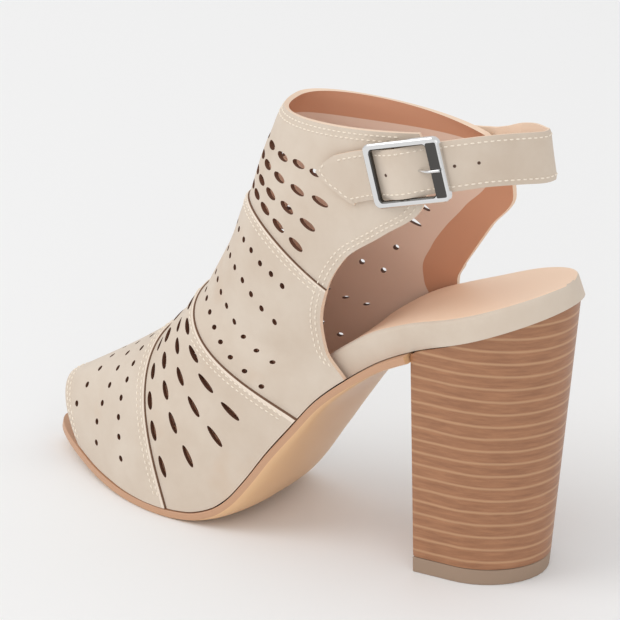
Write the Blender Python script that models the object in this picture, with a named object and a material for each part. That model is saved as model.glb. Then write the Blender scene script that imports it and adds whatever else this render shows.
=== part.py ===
"""Open-toe sandal for the left foot: stacked block heel, slotted four-panel upper and slingback strap.

Metres. X points to the outer (lateral) side, Y to the back, Z up. The origin is the middle of the
heel's straight-sided plan, on the floor.
"""
import math

import bpy
import bmesh
from mathutils import Vector
from mathutils.geometry import delaunay_2d_cdt

MM = 0.001

# Driving sizes of the sole
SHOE_LENGTH = 224.0 * MM
SEAT_BACK = 36.0 * MM
BALL_WIDTH = 67.0 * MM
HEEL_RISE = 92.5 * MM
GAP = 0.3 * MM
OUTSOLE_THICKNESS = 3.0 * MM
OUTSOLE_LIP = 0.6 * MM
SHANK_BELLY = 6.0 * MM
SHANK_TWIST = 2.5 * MM
PLATFORM_THICKNESS = 11.0 * MM
HEEL_ROUND = 0.161
TOE_ROUND = 0.28

# Driving sizes of the heel
HEEL_TOP_WIDTH = 53.0 * MM
HEEL_TOP_BACK = 35.0 * MM
HEEL_BASE_WIDTH = 46.0 * MM
HEEL_BASE_BACK = 24.4 * MM
HEEL_FRONT = 16.5 * MM
HEEL_ROUNDNESS = 1.95
TOP_PIECE_HEIGHT = 6.0 * MM

# Driving sizes of the upper
COLLAR_HEIGHT = 170.0 * MM
UPPER_WALL = 1.8 * MM
UPPER_SEAT = 0.2 * MM
SEAM_STEP = 0.8 * MM
UPPER_LEAN = 1.9 * MM
FEATHER_END = 0.52
VAMP_SLOT = 8.5 * MM
VAMP_SLOT_WIDTH = 2.4 * MM
TOP_SLOT = 7.0 * MM
TOP_SLOT_WIDTH = 3.0 * MM

# Driving sizes of the strap and its buckle
STRAP_WIDTH = 18.2 * MM
STRAP_THICKNESS = 1.6 * MM
STRAP_TIP = 7.5 * MM
STRAP_TIP_ROWS = 5
STRAP_DROOP = 2.0 * MM
BUCKLE_LENGTH = 30.0 * MM
BUCKLE_ARM = 2.4 * MM
BUCKLE_FRONT_BAR = 2.8 * MM
BUCKLE_REAR_BAR = 5.5 * MM
BUCKLE_THICKNESS = 2.2 * MM
BUCKLE_CORNER = 2.6 * MM
BUCKLE_AT = (0.232, 0.917)
BUCKLE_PITCH = 15.0
BUCKLE_YAW = -4.5
CENTRE_BAR = 1.2 * MM
CENTRE_BAR_AT = -4.5 * MM
TAB_WIDTH = 14.0 * MM
TAB_THICKNESS = 0.5 * MM
PRONG_WIDTH = 1.2 * MM

# Sole outline: centre line and half width as shares of the ball width
OUTLINE = [
    dict(s=0.000, centre=0.000, half=0.440),
    dict(s=0.161, centre=0.000, half=0.430),
    dict(s=0.280, centre=0.000, half=0.418),
    dict(s=0.380, centre=-0.004, half=0.407),
    dict(s=0.450, centre=-0.006, half=0.405),
    dict(s=0.510, centre=-0.012, half=0.422),
    dict(s=0.570, centre=-0.032, half=0.458),
    dict(s=0.640, centre=-0.064, half=0.493),
    dict(s=0.700, centre=-0.088, half=0.501),
    dict(s=0.780, centre=-0.128, half=0.475),
    dict(s=0.850, centre=-0.160, half=0.430),
    dict(s=0.920, centre=-0.192, half=0.372),
    dict(s=1.000, centre=-0.215, half=0.300),
]

# Sole line from the side: its height as a share of the heel rise, the insole's share of the platform
# thickness above it, the share of the shank's belly below it and of its twist to the medial side
PROFILE = [
    dict(s=0.000, height=1.152, insole=0.80, belly=0.00, twist=0.00),
    dict(s=0.161, height=1.000, insole=0.88, belly=0.00, twist=0.00),
    dict(s=0.232, height=0.932, insole=0.94, belly=0.00, twist=0.00),
    dict(s=0.290, height=0.862, insole=1.00, belly=0.00, twist=0.00),
    dict(s=0.348, height=0.764, insole=1.00, belly=0.20, twist=0.00),
    dict(s=0.406, height=0.642, insole=0.85, belly=0.45, twist=0.30),
    dict(s=0.451, height=0.510, insole=0.60, belly=0.70, twist=0.70),
    dict(s=0.495, height=0.376, insole=0.42, belly=0.95, twist=1.00),
    dict(s=0.536, height=0.236, insole=0.34, belly=1.00, twist=1.00),
    dict(s=0.567, height=0.144, insole=0.30, belly=0.90, twist=1.00),
    dict(s=0.600, height=0.082, insole=0.28, belly=0.45, twist=0.60),
    dict(s=0.650, height=0.0405, insole=0.28, belly=0.00, twist=0.15),
    dict(s=0.690, height=0.0325, insole=0.28, belly=0.00, twist=0.00),
    dict(s=0.760, height=0.0325, insole=0.28, belly=0.00, twist=0.00),
    dict(s=0.850, height=0.046, insole=0.28, belly=0.00, twist=0.00),
    dict(s=0.930, height=0.074, insole=0.28, belly=0.00, twist=0.00),
    dict(s=1.000, height=0.110, insole=0.28, belly=0.00, twist=0.00),
]

# Ridge of the upper: x as a share of the ball width, s as a share of the length, height as a share
# of the collar height; round is the roundness of the section, bow its forward bend over the length
RIDGE = [
    dict(u=0.00, x=-0.195, s=0.980, height=0.179, round=2.2, bow=0.000),
    dict(u=0.10, x=-0.150, s=0.848, height=0.287, round=2.3, bow=0.010),
    dict(u=0.22, x=-0.105, s=0.744, height=0.384, round=2.3, bow=0.020),
    dict(u=0.33, x=-0.088, s=0.714, height=0.434, round=2.3, bow=0.028),
    dict(u=0.45, x=-0.075, s=0.686, height=0.488, round=2.3, bow=0.032),
    dict(u=0.52, x=-0.070, s=0.662, height=0.542, round=2.3, bow=0.028),
    dict(u=0.60, x=-0.065, s=0.628, height=0.622, round=2.3, bow=0.010),
    dict(u=0.70, x=-0.065, s=0.594, height=0.727, round=2.2, bow=-0.018),
    dict(u=0.80, x=-0.070, s=0.569, height=0.830, round=2.2, bow=-0.012),
    dict(u=0.90, x=-0.080, s=0.548, height=0.905, round=2.3, bow=-0.006),
    dict(u=1.00, x=-0.090, s=0.528, height=0.953, round=2.3, bow=0.000),
]

# Edges of the upper where it stands on the sole, as shares of the length
FEATHER = [
    dict(u=0.00, lateral=0.930, medial=0.935),
    dict(u=0.10, lateral=0.840, medial=0.830),
    dict(u=0.22, lateral=0.688, medial=0.690),
    dict(u=0.33, lateral=0.560, medial=0.565),
    dict(u=0.45, lateral=0.440, medial=0.430),
    dict(u=0.52, lateral=0.350, medial=0.262),
]

# Back edges of the two quarters: s, height and x as in the ridge table, and the side swell
BACK_LATERAL = [
    dict(u=0.52, s=0.350, height=0.425, x=0.408, swell=0.00),
    dict(u=0.57, s=0.384, height=0.478, x=0.412, swell=0.00),
    dict(u=0.62, s=0.393, height=0.540, x=0.414, swell=0.00),
    dict(u=0.70, s=0.383, height=0.612, x=0.412, swell=0.01),
    dict(u=0.77, s=0.350, height=0.690, x=0.408, swell=0.02),
    dict(u=0.84, s=0.281, height=0.760, x=0.404, swell=0.03),
    dict(u=0.90, s=0.214, height=0.835, x=0.398, swell=0.04),
    dict(u=0.95, s=0.200, height=0.930, x=0.392, swell=0.05),
    dict(u=1.00, s=0.222, height=0.995, x=0.388, swell=0.05),
]
BACK_MEDIAL = [
    dict(u=0.52, s=0.262, height=0.480, x=-0.418, swell=0.00),
    dict(u=0.57, s=0.275, height=0.525, x=-0.405, swell=0.00),
    dict(u=0.62, s=0.274, height=0.555, x=-0.396, swell=0.00),
    dict(u=0.70, s=0.262, height=0.590, x=-0.385, swell=0.02),
    dict(u=0.77, s=0.238, height=0.640, x=-0.370, swell=0.05),
    dict(u=0.84, s=0.205, height=0.705, x=-0.350, swell=0.07),
    dict(u=0.90, s=0.162, height=0.785, x=-0.325, swell=0.09),
    dict(u=0.95, s=0.170, height=0.868, x=-0.310, swell=0.10),
    dict(u=1.00, s=0.210, height=0.915, x=-0.300, swell=0.11),
]

# Slots of the vamp and the top panel, from the ridge down the side: length as a share of a slot
VAMP_SLOTS = [
    dict(u=0.425, v=0.500, long=0.70), dict(u=0.425, v=0.413, long=0.75),
    dict(u=0.425, v=0.326, long=0.85), dict(u=0.417, v=0.240, long=0.95),
    dict(u=0.404, v=0.163, long=1.12), dict(u=0.404, v=0.086, long=1.16),
    dict(u=0.367, v=0.500, long=0.70), dict(u=0.367, v=0.435, long=0.70),
    dict(u=0.367, v=0.366, long=0.75), dict(u=0.367, v=0.296, long=0.80),
    dict(u=0.354, v=0.219, long=0.90), dict(u=0.354, v=0.146, long=1.05),
    dict(u=0.358, v=0.077, long=1.12),
    dict(u=0.308, v=0.500, long=0.70), dict(u=0.308, v=0.430, long=0.70),
    dict(u=0.308, v=0.357, long=0.72), dict(u=0.308, v=0.283, long=0.78),
    dict(u=0.300, v=0.214, long=0.88), dict(u=0.296, v=0.146, long=1.00),
    dict(u=0.300, v=0.081, long=1.06),
    dict(u=0.255, v=0.500, long=0.66), dict(u=0.255, v=0.425, long=0.66),
    dict(u=0.255, v=0.348, long=0.70), dict(u=0.250, v=0.270, long=0.75),
    dict(u=0.238, v=0.201, long=0.82), dict(u=0.237, v=0.137, long=0.92),
    dict(u=0.238, v=0.069, long=1.00),
]
TOP_SLOTS = [
    dict(u=0.854, v=0.500, long=0.90), dict(u=0.854, v=0.420, long=0.92),
    dict(u=0.854, v=0.339, long=0.95), dict(u=0.858, v=0.270, long=1.00),
    dict(u=0.871, v=0.217, long=0.95), dict(u=0.877, v=0.172, long=0.80),
    dict(u=0.808, v=0.500, long=0.90), dict(u=0.808, v=0.440, long=0.92),
    dict(u=0.808, v=0.375, long=0.94), dict(u=0.808, v=0.309, long=0.96),
    dict(u=0.812, v=0.240, long=1.00), dict(u=0.821, v=0.176, long=1.05),
    dict(u=0.833, v=0.120, long=1.10),
    dict(u=0.767, v=0.500, long=0.90), dict(u=0.767, v=0.440, long=0.92),
    dict(u=0.767, v=0.372, long=0.94), dict(u=0.767, v=0.304, long=0.96),
    dict(u=0.767, v=0.236, long=1.00), dict(u=0.775, v=0.167, long=1.05),
    dict(u=0.779, v=0.100, long=1.08),
    dict(u=0.733, v=0.500, long=0.90), dict(u=0.733, v=0.440, long=0.92),
    dict(u=0.733, v=0.372, long=0.94), dict(u=0.733, v=0.304, long=0.96),
    dict(u=0.731, v=0.236, long=1.00), dict(u=0.731, v=0.167, long=1.02),
    dict(u=0.731, v=0.100, long=1.04),
]

# Strap round the back, from the buckle to the medial quarter: x, s and height as in the ridge table
STRAP_BACK = [
    dict(x=0.299, s=0.1161, height=0.950),
    dict(x=0.157, s=0.0790, height=0.947),
    dict(x=0.045, s=0.0585, height=0.941),
    dict(x=-0.030, s=0.0565, height=0.938),
    dict(x=-0.104, s=0.0710, height=0.929),
    dict(x=-0.224, s=0.1070, height=0.914),
    dict(x=-0.300, s=0.1400, height=0.898),
]
STRAP_MEDIAL = [
    dict(s=0.165, height=0.883),
    dict(s=0.190, height=0.874),
    dict(s=0.220, height=0.865),
    dict(s=0.255, height=0.855),
    dict(s=0.290, height=0.846),
    dict(s=0.320, height=0.838),
]

# Seams of the upper, where a panel's rear edge lies over the next panel
SEAMS = (0.22, 0.45, 0.70)

# Mesh density
SOLE_ROWS = 36
SOLE_COLUMNS = 8
HEEL_ARC = 14
HEEL_RINGS = 6
UPPER_ROWS = 20
UPPER_COLUMNS = 20
FEATHER_STEP = 0.0125
STRAP_STEP = 2.4 * MM


def curve(rows, key, at, along="s"):
    """A monotone cubic through one column of a table."""
    xs = [row[along] for row in rows]
    ys = [row[key] for row in rows]
    n = len(xs)
    steps = [xs[i + 1] - xs[i] for i in range(n - 1)]
    slopes = [(ys[i + 1] - ys[i]) / steps[i] for i in range(n - 1)]
    tangents = [slopes[0]] + [0.0] * (n - 2) + [slopes[-1]]
    for i in range(1, n - 1):
        a, b = slopes[i - 1], slopes[i]
        if a * b > 0.0:
            wa = 2.0 * steps[i] + steps[i - 1]
            wb = steps[i] + 2.0 * steps[i - 1]
            tangents[i] = (wa + wb) / (wa / a + wb / b)
    i = 0
    while i < n - 2 and at > xs[i + 1]:
        i += 1
    t = (at - xs[i]) / steps[i]
    if t < 0.0 or t > 1.0:
        end = 0 if t < 0.0 else n - 1
        return ys[end] + tangents[end] * (at - xs[end])
    h = steps[i]
    return (ys[i] * (1 + 2 * t) * (1 - t) ** 2 + tangents[i] * h * t * (1 - t) ** 2
            + ys[i + 1] * t * t * (3 - 2 * t) + tangents[i + 1] * h * t * t * (t - 1))


def mix(a, b, t):
    return a + (b - a) * t


def smooth_step(t):
    t = min(1.0, max(0.0, t))
    return t * t * (3.0 - 2.0 * t)


# Sole functions
def sole_y(s):
    return SEAT_BACK - s * SHOE_LENGTH


def sole_share(y):
    return (SEAT_BACK - y) / SHOE_LENGTH


def sole_line(s):
    return HEEL_RISE * curve(PROFILE, "height", s)


def sole_normal(s):
    """Unit normal of the sole line, pointing up, as (y, z)."""
    ds = 1e-4
    dz = sole_line(s + ds) - sole_line(s - ds)
    dy = sole_y(s + ds) - sole_y(s - ds)
    length = math.hypot(dy, dz)
    return dz / length, -dy / length


def sole_tilt(s, x):
    """Slope of the sole across its width: the shank drops towards the medial side."""
    return 2.0 * SHANK_TWIST / BALL_WIDTH * curve(PROFILE, "twist", s) if x < 0.0 else 0.0


def sole_point(s, x, rise):
    """A point at a rise above the sole line, measured square to it."""
    ny, nz = sole_normal(s)
    twist = sole_tilt(s, x) * abs(x)
    return Vector((x, sole_y(s) + ny * rise, sole_line(s) - twist + nz * rise))


def round_end(s):
    if s < HEEL_ROUND:
        t = 1.0 - s / HEEL_ROUND
    elif s > 1.0 - TOE_ROUND:
        t = (s - 1.0 + TOE_ROUND) / TOE_ROUND
    else:
        return 1.0
    return math.sqrt(max(0.0, 1.0 - min(1.0, t) ** 2))


def outline_x(s, side, inset=0.0):
    """Edge of the sole at a station, on the lateral (1) or medial (-1) side."""
    t = (s * SHOE_LENGTH - inset) / (SHOE_LENGTH - 2.0 * inset)
    centre = BALL_WIDTH * curve(OUTLINE, "centre", s)
    half = BALL_WIDTH * curve(OUTLINE, "half", min(1.0, max(0.0, t))) - inset
    return centre + side * half * round_end(t)


# Upper functions
def ridge_point(u):
    return Vector((BALL_WIDTH * curve(RIDGE, "x", u, "u"),
                   sole_y(curve(RIDGE, "s", u, "u")),
                   COLLAR_HEIGHT * curve(RIDGE, "height", u, "u")))


def foot_point(u, side):
    """Lower edge of the upper: on the sole up to the feather's end, then the quarter's back edge."""
    if u <= FEATHER_END:
        s = curve(FEATHER, "lateral" if side > 0 else "medial", u, "u")
        return sole_point(s, outline_x(s, side), GAP + UPPER_SEAT)
    rows = BACK_LATERAL if side > 0 else BACK_MEDIAL
    start = foot_point(FEATHER_END, side)
    point = Vector((BALL_WIDTH * curve(rows, "x", u, "u"),
                    sole_y(curve(rows, "s", u, "u")),
                    COLLAR_HEIGHT * curve(rows, "height", u, "u")))
    first = Vector((BALL_WIDTH * rows[0]["x"], sole_y(rows[0]["s"]), COLLAR_HEIGHT * rows[0]["height"]))
    fade = max(0.0, 1.0 - (u - FEATHER_END) / (1.0 - FEATHER_END)) ** 4
    return point + (start - first) * fade


def side_swell(u, side):
    if u <= FEATHER_END:
        return 0.0
    return BALL_WIDTH * curve(BACK_LATERAL if side > 0 else BACK_MEDIAL, "swell", u, "u")


def upper_point(u, v):
    """Middle form of the upper's outside: v runs from the lateral edge over the ridge to the medial."""
    side = 1.0 if v < 0.5 else -1.0
    phi = math.pi * min(v, 1.0 - v)
    power = 2.0 / curve(RIDGE, "round", u, "u")
    out = max(0.0, math.cos(phi)) ** power
    rise = math.sin(phi) ** power
    ridge = ridge_point(u)
    foot = foot_point(u, side)
    swell = side_swell(u, side)
    reach = abs(foot.x - ridge.x) + swell
    x = ridge.x + side * (reach * out - swell * (1.0 - rise) ** 4)
    bow = SHOE_LENGTH * curve(RIDGE, "bow", u, "u") * math.sin(2.0 * phi)
    along = Vector((0.0, ridge.y - foot.y, ridge.z - foot.z)).normalized()
    return Vector((x, mix(foot.y, ridge.y, rise) - along.z * bow,
                   mix(foot.z, ridge.z, rise) + along.y * bow))


def upper_normal(u, v):
    """Outward normal of the upper; along the sole it stays in the sole's own surface."""
    d = 1e-3
    u0, u1 = max(0.0, u - d), min(1.0, u + d)
    if u0 < FEATHER_END < u1:
        u0, u1 = (u0, FEATHER_END) if u <= FEATHER_END else (FEATHER_END, u1)
    v0, v1 = max(0.0, v - d), min(1.0, v + d)
    du = upper_point(u1, v) - upper_point(u0, v)
    dv = upper_point(u, v1) - upper_point(u, v0)
    normal = du.cross(dv).normalized()
    if v in (0.0, 1.0) and u <= FEATHER_END:
        s = curve(FEATHER, "lateral" if v == 0.0 else "medial", u, "u")
        ny, nz = sole_normal(s)
        flat = Vector((0.0 if v == 0.0 else -nz * sole_tilt(s, -1.0), ny, nz)).normalized()
        normal = (normal - flat * normal.dot(flat)).normalized()
    return normal


# Mesh helpers
def material(name, colour, roughness, metallic=0.0):
    mat = bpy.data.materials.new(name)
    mat.use_nodes = True
    shader = mat.node_tree.nodes["Principled BSDF"]
    shader.inputs["Base Color"].default_value = (*colour, 1.0)
    shader.inputs["Roughness"].default_value = roughness
    shader.inputs["Metallic"].default_value = metallic
    return mat


def finish(name, bm, mat, angle=40.0):
    bmesh.ops.remove_doubles(bm, verts=bm.verts, dist=1e-7)
    bmesh.ops.recalc_face_normals(bm, faces=bm.faces)
    mesh = bpy.data.meshes.new(name)
    bm.to_mesh(mesh)
    bm.free()
    mesh.shade_smooth()
    mesh.set_sharp_from_angle(angle=math.radians(angle))
    mesh.materials.append(mat)
    obj = bpy.data.objects.new(name, mesh)
    bpy.context.scene.collection.objects.link(obj)
    return obj


def face(bm, corners):
    """A face, without corners that fall together."""
    kept = []
    for corner in corners:
        if all((corner.co - other.co).length > 1e-7 for other in kept):
            kept.append(corner)
    if len(kept) > 2:
        bm.faces.new(kept)


def slab(bm, rows):
    """A closed body from rows of (bottom points, top points)."""
    low = [[bm.verts.new(p) for p in bottom] for bottom, top in rows]
    high = [[bm.verts.new(p) for p in top] for bottom, top in rows]
    last = len(low[0]) - 1
    for i in range(len(rows) - 1):
        for j in range(last):
            face(bm, (low[i][j], low[i][j + 1], low[i + 1][j + 1], low[i + 1][j]))
            face(bm, (high[i][j], high[i + 1][j], high[i + 1][j + 1], high[i][j + 1]))
        for j in (0, last):
            face(bm, (low[i][j], low[i + 1][j], high[i + 1][j], high[i][j]))
    for i in (0, len(rows) - 1):
        for j in range(last):
            face(bm, (low[i][j], low[i][j + 1], high[i][j + 1], high[i][j]))


def cosine_steps(start, end, count):
    return [mix(start, end, 0.5 - 0.5 * math.cos(math.pi * k / count)) for k in range(count + 1)]


def plate(name, stations, inset, bottom, top, mat):
    """A plate that follows the sole line between two rises, functions of the station and the width."""
    bm = bmesh.new()
    rows = []
    for s in stations:
        left, right = outline_x(s, -1, inset(s)), outline_x(s, 1, inset(s))
        ws = [-math.cos(math.pi * j / SOLE_COLUMNS) for j in range(SOLE_COLUMNS + 1)]
        spots = [(w, mix(left, right, 0.5 + 0.5 * w)) for w in ws]
        rows.append(([sole_point(s, x, bottom(s, w)) for w, x in spots],
                     [sole_point(s, x, top(s)) for w, x in spots]))
    slab(bm, rows)
    return finish(name, bm, mat)


# Sole and insole
def make_outsole(mat):
    lip = OUTSOLE_LIP
    pitch = math.atan((sole_line(0.16) - sole_line(0.24)) / (0.08 * SHOE_LENGTH))
    breast = -HEEL_FRONT - GAP - OUTSOLE_THICKNESS * math.sin(pitch)
    start = sole_share(breast)
    end = 1.0 + lip / SHOE_LENGTH
    stations = [mix(start, end, math.sin(0.5 * math.pi * k / SOLE_ROWS)) for k in range(SOLE_ROWS + 1)]

    def bottom(s, w):
        return -OUTSOLE_THICKNESS - SHANK_BELLY * curve(PROFILE, "belly", s) * math.sqrt(1.0 - min(1.0, w * w))

    return plate("outsole", stations, lambda s: -lip, bottom, lambda s: 0.0, mat)


def insole_inset(s):
    inside = UPPER_WALL + GAP + UPPER_LEAN
    return mix(0.0, inside, smooth_step((s - 0.10) / 0.14))


def insole_rise(s):
    return PLATFORM_THICKNESS * curve(PROFILE, "insole", s)


def make_insole(mat):
    end = 1.0 - insole_inset(1.0) / SHOE_LENGTH
    stations = cosine_steps(0.0, end, SOLE_ROWS + 4)
    return plate("insole", stations, insole_inset, lambda s, w: GAP, insole_rise, mat)


# Heel
def heel_half_plan(width, back, t):
    """Half width and y of the D-shaped plan; t runs from the breast to the back."""
    straight = 0.3
    if t < straight:
        return 0.5 * width, mix(-HEEL_FRONT, 0.0, t / straight)
    phi = 0.5 * math.pi * (t - straight) / (1.0 - straight)
    power = 2.0 / HEEL_ROUNDNESS
    return 0.5 * width * max(0.0, math.cos(phi)) ** power, back * math.sin(phi) ** power


def heel_ring(height_share):
    """Pairs of points, lateral and medial, at a share of the way up from the floor to the seat."""
    ring = []
    for k in range(HEEL_ARC + 1):
        t = k / HEEL_ARC
        x0, y0 = heel_half_plan(HEEL_BASE_WIDTH, HEEL_BASE_BACK, t)
        x1, y1 = heel_half_plan(HEEL_TOP_WIDTH, HEEL_TOP_BACK, t)
        top = sole_line(sole_share(y1))
        x, y = mix(x0, x1, height_share), mix(y0, y1, height_share)
        ring.append((Vector((x, y, top * height_share)), Vector((-x, y, top * height_share))))
    return ring


def heel_slice(low_share, high_share, rings, low_z=None, high_z=None):
    """Body between two shares of the heel's height, its first or last ring set level."""
    bm = bmesh.new()
    levels = []
    for k in range(rings + 1):
        ring = heel_ring(mix(low_share, high_share, k / rings))
        level = low_z if k == 0 else high_z if k == rings else None
        if level is not None:
            for pair in ring:
                for point in pair:
                    point.z = level
        levels.append([[bm.verts.new(p) for p in pair] for pair in ring])
    for below, above in zip(levels[:-1], levels[1:]):
        for i in range(HEEL_ARC):
            for j in (0, 1):
                face(bm, (below[i][j], below[i + 1][j], above[i + 1][j], above[i][j]))
        face(bm, (below[0][0], below[0][1], above[0][1], above[0][0]))
    for level in (levels[0], levels[-1]):
        for i in range(HEEL_ARC):
            face(bm, (level[i][0], level[i + 1][0], level[i + 1][1], level[i][1]))
    return bm


def make_heel(block_mat, top_piece_mat):
    share = TOP_PIECE_HEIGHT / HEEL_RISE
    top_piece = heel_slice(0.0, share, 1, 0.0, TOP_PIECE_HEIGHT)
    block = heel_slice(share, 1.0, HEEL_RINGS, TOP_PIECE_HEIGHT + GAP)
    return finish("heel_block", block, block_mat), finish("heel_top_piece", top_piece, top_piece_mat)


# Upper
def panel_step(u, before=False):
    """Thickness added towards each panel's rear edge, where it lies over the next one."""
    start = 0.0
    for seam in SEAMS:
        if u < seam or (before and abs(u - seam) < 1e-9):
            return SEAM_STEP * smooth_step((u - start) / (seam - start))
        start = seam
    return 0.0


def slots():
    """Slots of both sides as (u, v, half extent in u, half extent in v)."""
    out = []
    for rows, long, wide in ((VAMP_SLOTS, VAMP_SLOT, VAMP_SLOT_WIDTH), (TOP_SLOTS, TOP_SLOT, TOP_SLOT_WIDTH)):
        for row in rows:
            u, v, d = row["u"], row["v"], 0.005
            per_u = (upper_point(u + d, v) - upper_point(u - d, v)).length / (2.0 * d)
            per_v = (upper_point(u, v + d) - upper_point(u, v - d)).length / (2.0 * d)
            extent = (0.5 * wide / per_u, 0.5 * long * row["long"] / per_v)
            out.append((u, v) + extent)
            if v < 0.5:
                out.append((u, 1.0 - v) + extent)
    return out


def slot_share(slot, u, v):
    """Distance from a slot's centre, 1 on its edge."""
    return math.hypot((u - slot[0]) / slot[2], (v - slot[1]) / slot[3])


def upper_plan():
    """Triangles of the upper in (u, v), with its slots left out."""
    seam_width = 0.004
    us = [k / UPPER_ROWS for k in range(UPPER_ROWS + 1)] + [FEATHER_END]
    us = [u for u in us if all(abs(u - seam) > 0.3 / UPPER_ROWS for seam in SEAMS)]
    seam_rows = [seam - seam_width for seam in SEAMS] + list(SEAMS)
    vs = [k / UPPER_COLUMNS for k in range(UPPER_COLUMNS + 1)]
    holes = slots()
    points, index, edges = [], {}, []

    def add(u, v):
        key = (round(u, 6), round(v, 6))
        if key not in index:
            index[key] = len(points)
            points.append(key)
        return index[key]

    def chain(row):
        edges.extend(zip(row[:-1], row[1:]))

    feather = [k * FEATHER_STEP for k in range(int(0.57 / FEATHER_STEP) + 1)]
    side_us = sorted(set(round(u, 6) for u in us + seam_rows + feather))
    side_us = [u for u in side_us if all(abs(u - seam) < 1e-6 or abs(u - seam) > 1.5 * seam_width
               or abs(u - seam + seam_width) < 1e-6 for seam in SEAMS)]
    chain([add(u, 0.0) for u in side_us])
    chain([add(u, 1.0) for u in side_us])
    for u in [0.0, 1.0] + seam_rows:
        chain([add(u, v) for v in vs])
    for u in us:
        for v in vs:
            if all(math.hypot(max(0.0, abs(u - h[0]) / (h[2] + 0.006)),
                              max(0.0, abs(v - h[1]) / (h[3] + 0.008))) > 1.0 for h in holes):
                add(u, v)
    for u in feather:
        for v in (0.03, 0.97):
            add(u, v)
    for hole in holes:
        loop = []
        for k in range(6):
            turn = math.pi * k / 3.0
            loop.append(add(hole[0] + hole[2] * 1.1 * math.sin(turn), hole[1] + hole[3] * math.cos(turn)))
        chain(loop + loop[:1])
    scale_u, scale_v = 0.15, 0.13
    flat = [Vector((u * scale_u, v * scale_v)) for u, v in points]
    verts, _, faces, _, _, _ = delaunay_2d_cdt(flat, edges, [], 0, 1e-7)
    plan = [(p.x / scale_u, p.y / scale_v) for p in verts]
    kept = []
    for tri in faces:
        u = sum(plan[i][0] for i in tri) / 3.0
        v = sum(plan[i][1] for i in tri) / 3.0
        if all(slot_share(hole, u, v) > 0.9 for hole in holes):
            kept.append(tuple(tri))
    return plan, kept


def make_upper(mat):
    plan, triangles = upper_plan()
    bm = bmesh.new()
    outside, inside = {}, {}
    for i in sorted(set(i for tri in triangles for i in tri)):
        u = min(1.0, max(0.0, plan[i][0]))
        v = min(1.0, max(0.0, plan[i][1]))
        u, v = round(u, 6), round(v, 6)
        point, normal = upper_point(u, v), upper_normal(u, v)
        outside[i] = bm.verts.new(point + normal * panel_step(u))
        inside[i] = bm.verts.new(point - normal * UPPER_WALL)
    borders = {}
    for a, b, c in triangles:
        bm.faces.new((outside[a], outside[b], outside[c]))
        bm.faces.new((inside[a], inside[c], inside[b]))
        for pair in ((a, b), (b, c), (c, a)):
            key = (min(pair), max(pair))
            borders[key] = borders.get(key, 0) + 1
    for (a, b), count in borders.items():
        if count == 1:
            bm.faces.new((outside[a], outside[b], inside[b], inside[a]))
    return finish("upper", bm, mat)


# Strap and buckle
def buckle_axes():
    """The buckle's own axes: along the strap, across it and outward, and its seat on the quarter."""
    pitch, yaw = math.radians(BUCKLE_PITCH), math.radians(BUCKLE_YAW)
    along = Vector((math.tan(yaw), math.cos(pitch), math.sin(pitch))).normalized()
    across = Vector((0.0, -math.sin(pitch), math.cos(pitch)))
    across = (across - along * across.dot(along)).normalized()
    out = along.cross(across)
    centre = ankle_point(BUCKLE_AT[0], BUCKLE_AT[1], 1)[0]
    far = max((ankle_point(BUCKLE_AT[0] + ds, BUCKLE_AT[1] + dh, 1)[0] - centre).dot(out)
              for ds in (0.00, 0.03, 0.06) for dh in (-0.05, 0.0, 0.05))
    return centre + out * max(0.0, far), along, across, out


def ankle_point(s, height, side):
    """Outer surface of a quarter at a station and a height, with its outward normal."""
    y, z = sole_y(s), COLLAR_HEIGHT * height
    u, v, d = 0.90, 0.12, 1e-4

    def at(u, v):
        return upper_point(u, v if side > 0 else 1.0 - v)

    for _ in range(20):
        p, pu, pv = at(u, v), at(u + d, v), at(u, v + d)
        a, b = (pu.y - p.y) / d, (pv.y - p.y) / d
        c, e = (pu.z - p.z) / d, (pv.z - p.z) / d
        det = a * e - b * c
        ry, rz = y - p.y, z - p.z
        u = min(0.998, max(0.60, u + (e * ry - b * rz) / det))
        v = min(0.45, max(0.002, v + (a * rz - c * ry) / det))
    return at(u, v), upper_normal(u, v if side > 0 else 1.0 - v)


def strap_rise(a):
    """Underside of the strap above the quarter along the buckle: under the bars, over the centre bar."""
    top = TAB_THICKNESS * 2.0 + CENTRE_BAR + 4.0 * GAP
    front, rear = -0.5 * BUCKLE_LENGTH + 1.5 * MM, 0.5 * BUCKLE_LENGTH - BUCKLE_REAR_BAR - 0.5 * MM
    bar = CENTRE_BAR_AT
    if a <= bar:
        share = smooth_step((a - front) / (bar - 0.7 * MM - front))
    else:
        share = 1.0 - smooth_step((a - bar - 0.7 * MM) / (rear - bar - 0.7 * MM))
    return mix(GAP, top, share)


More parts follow.
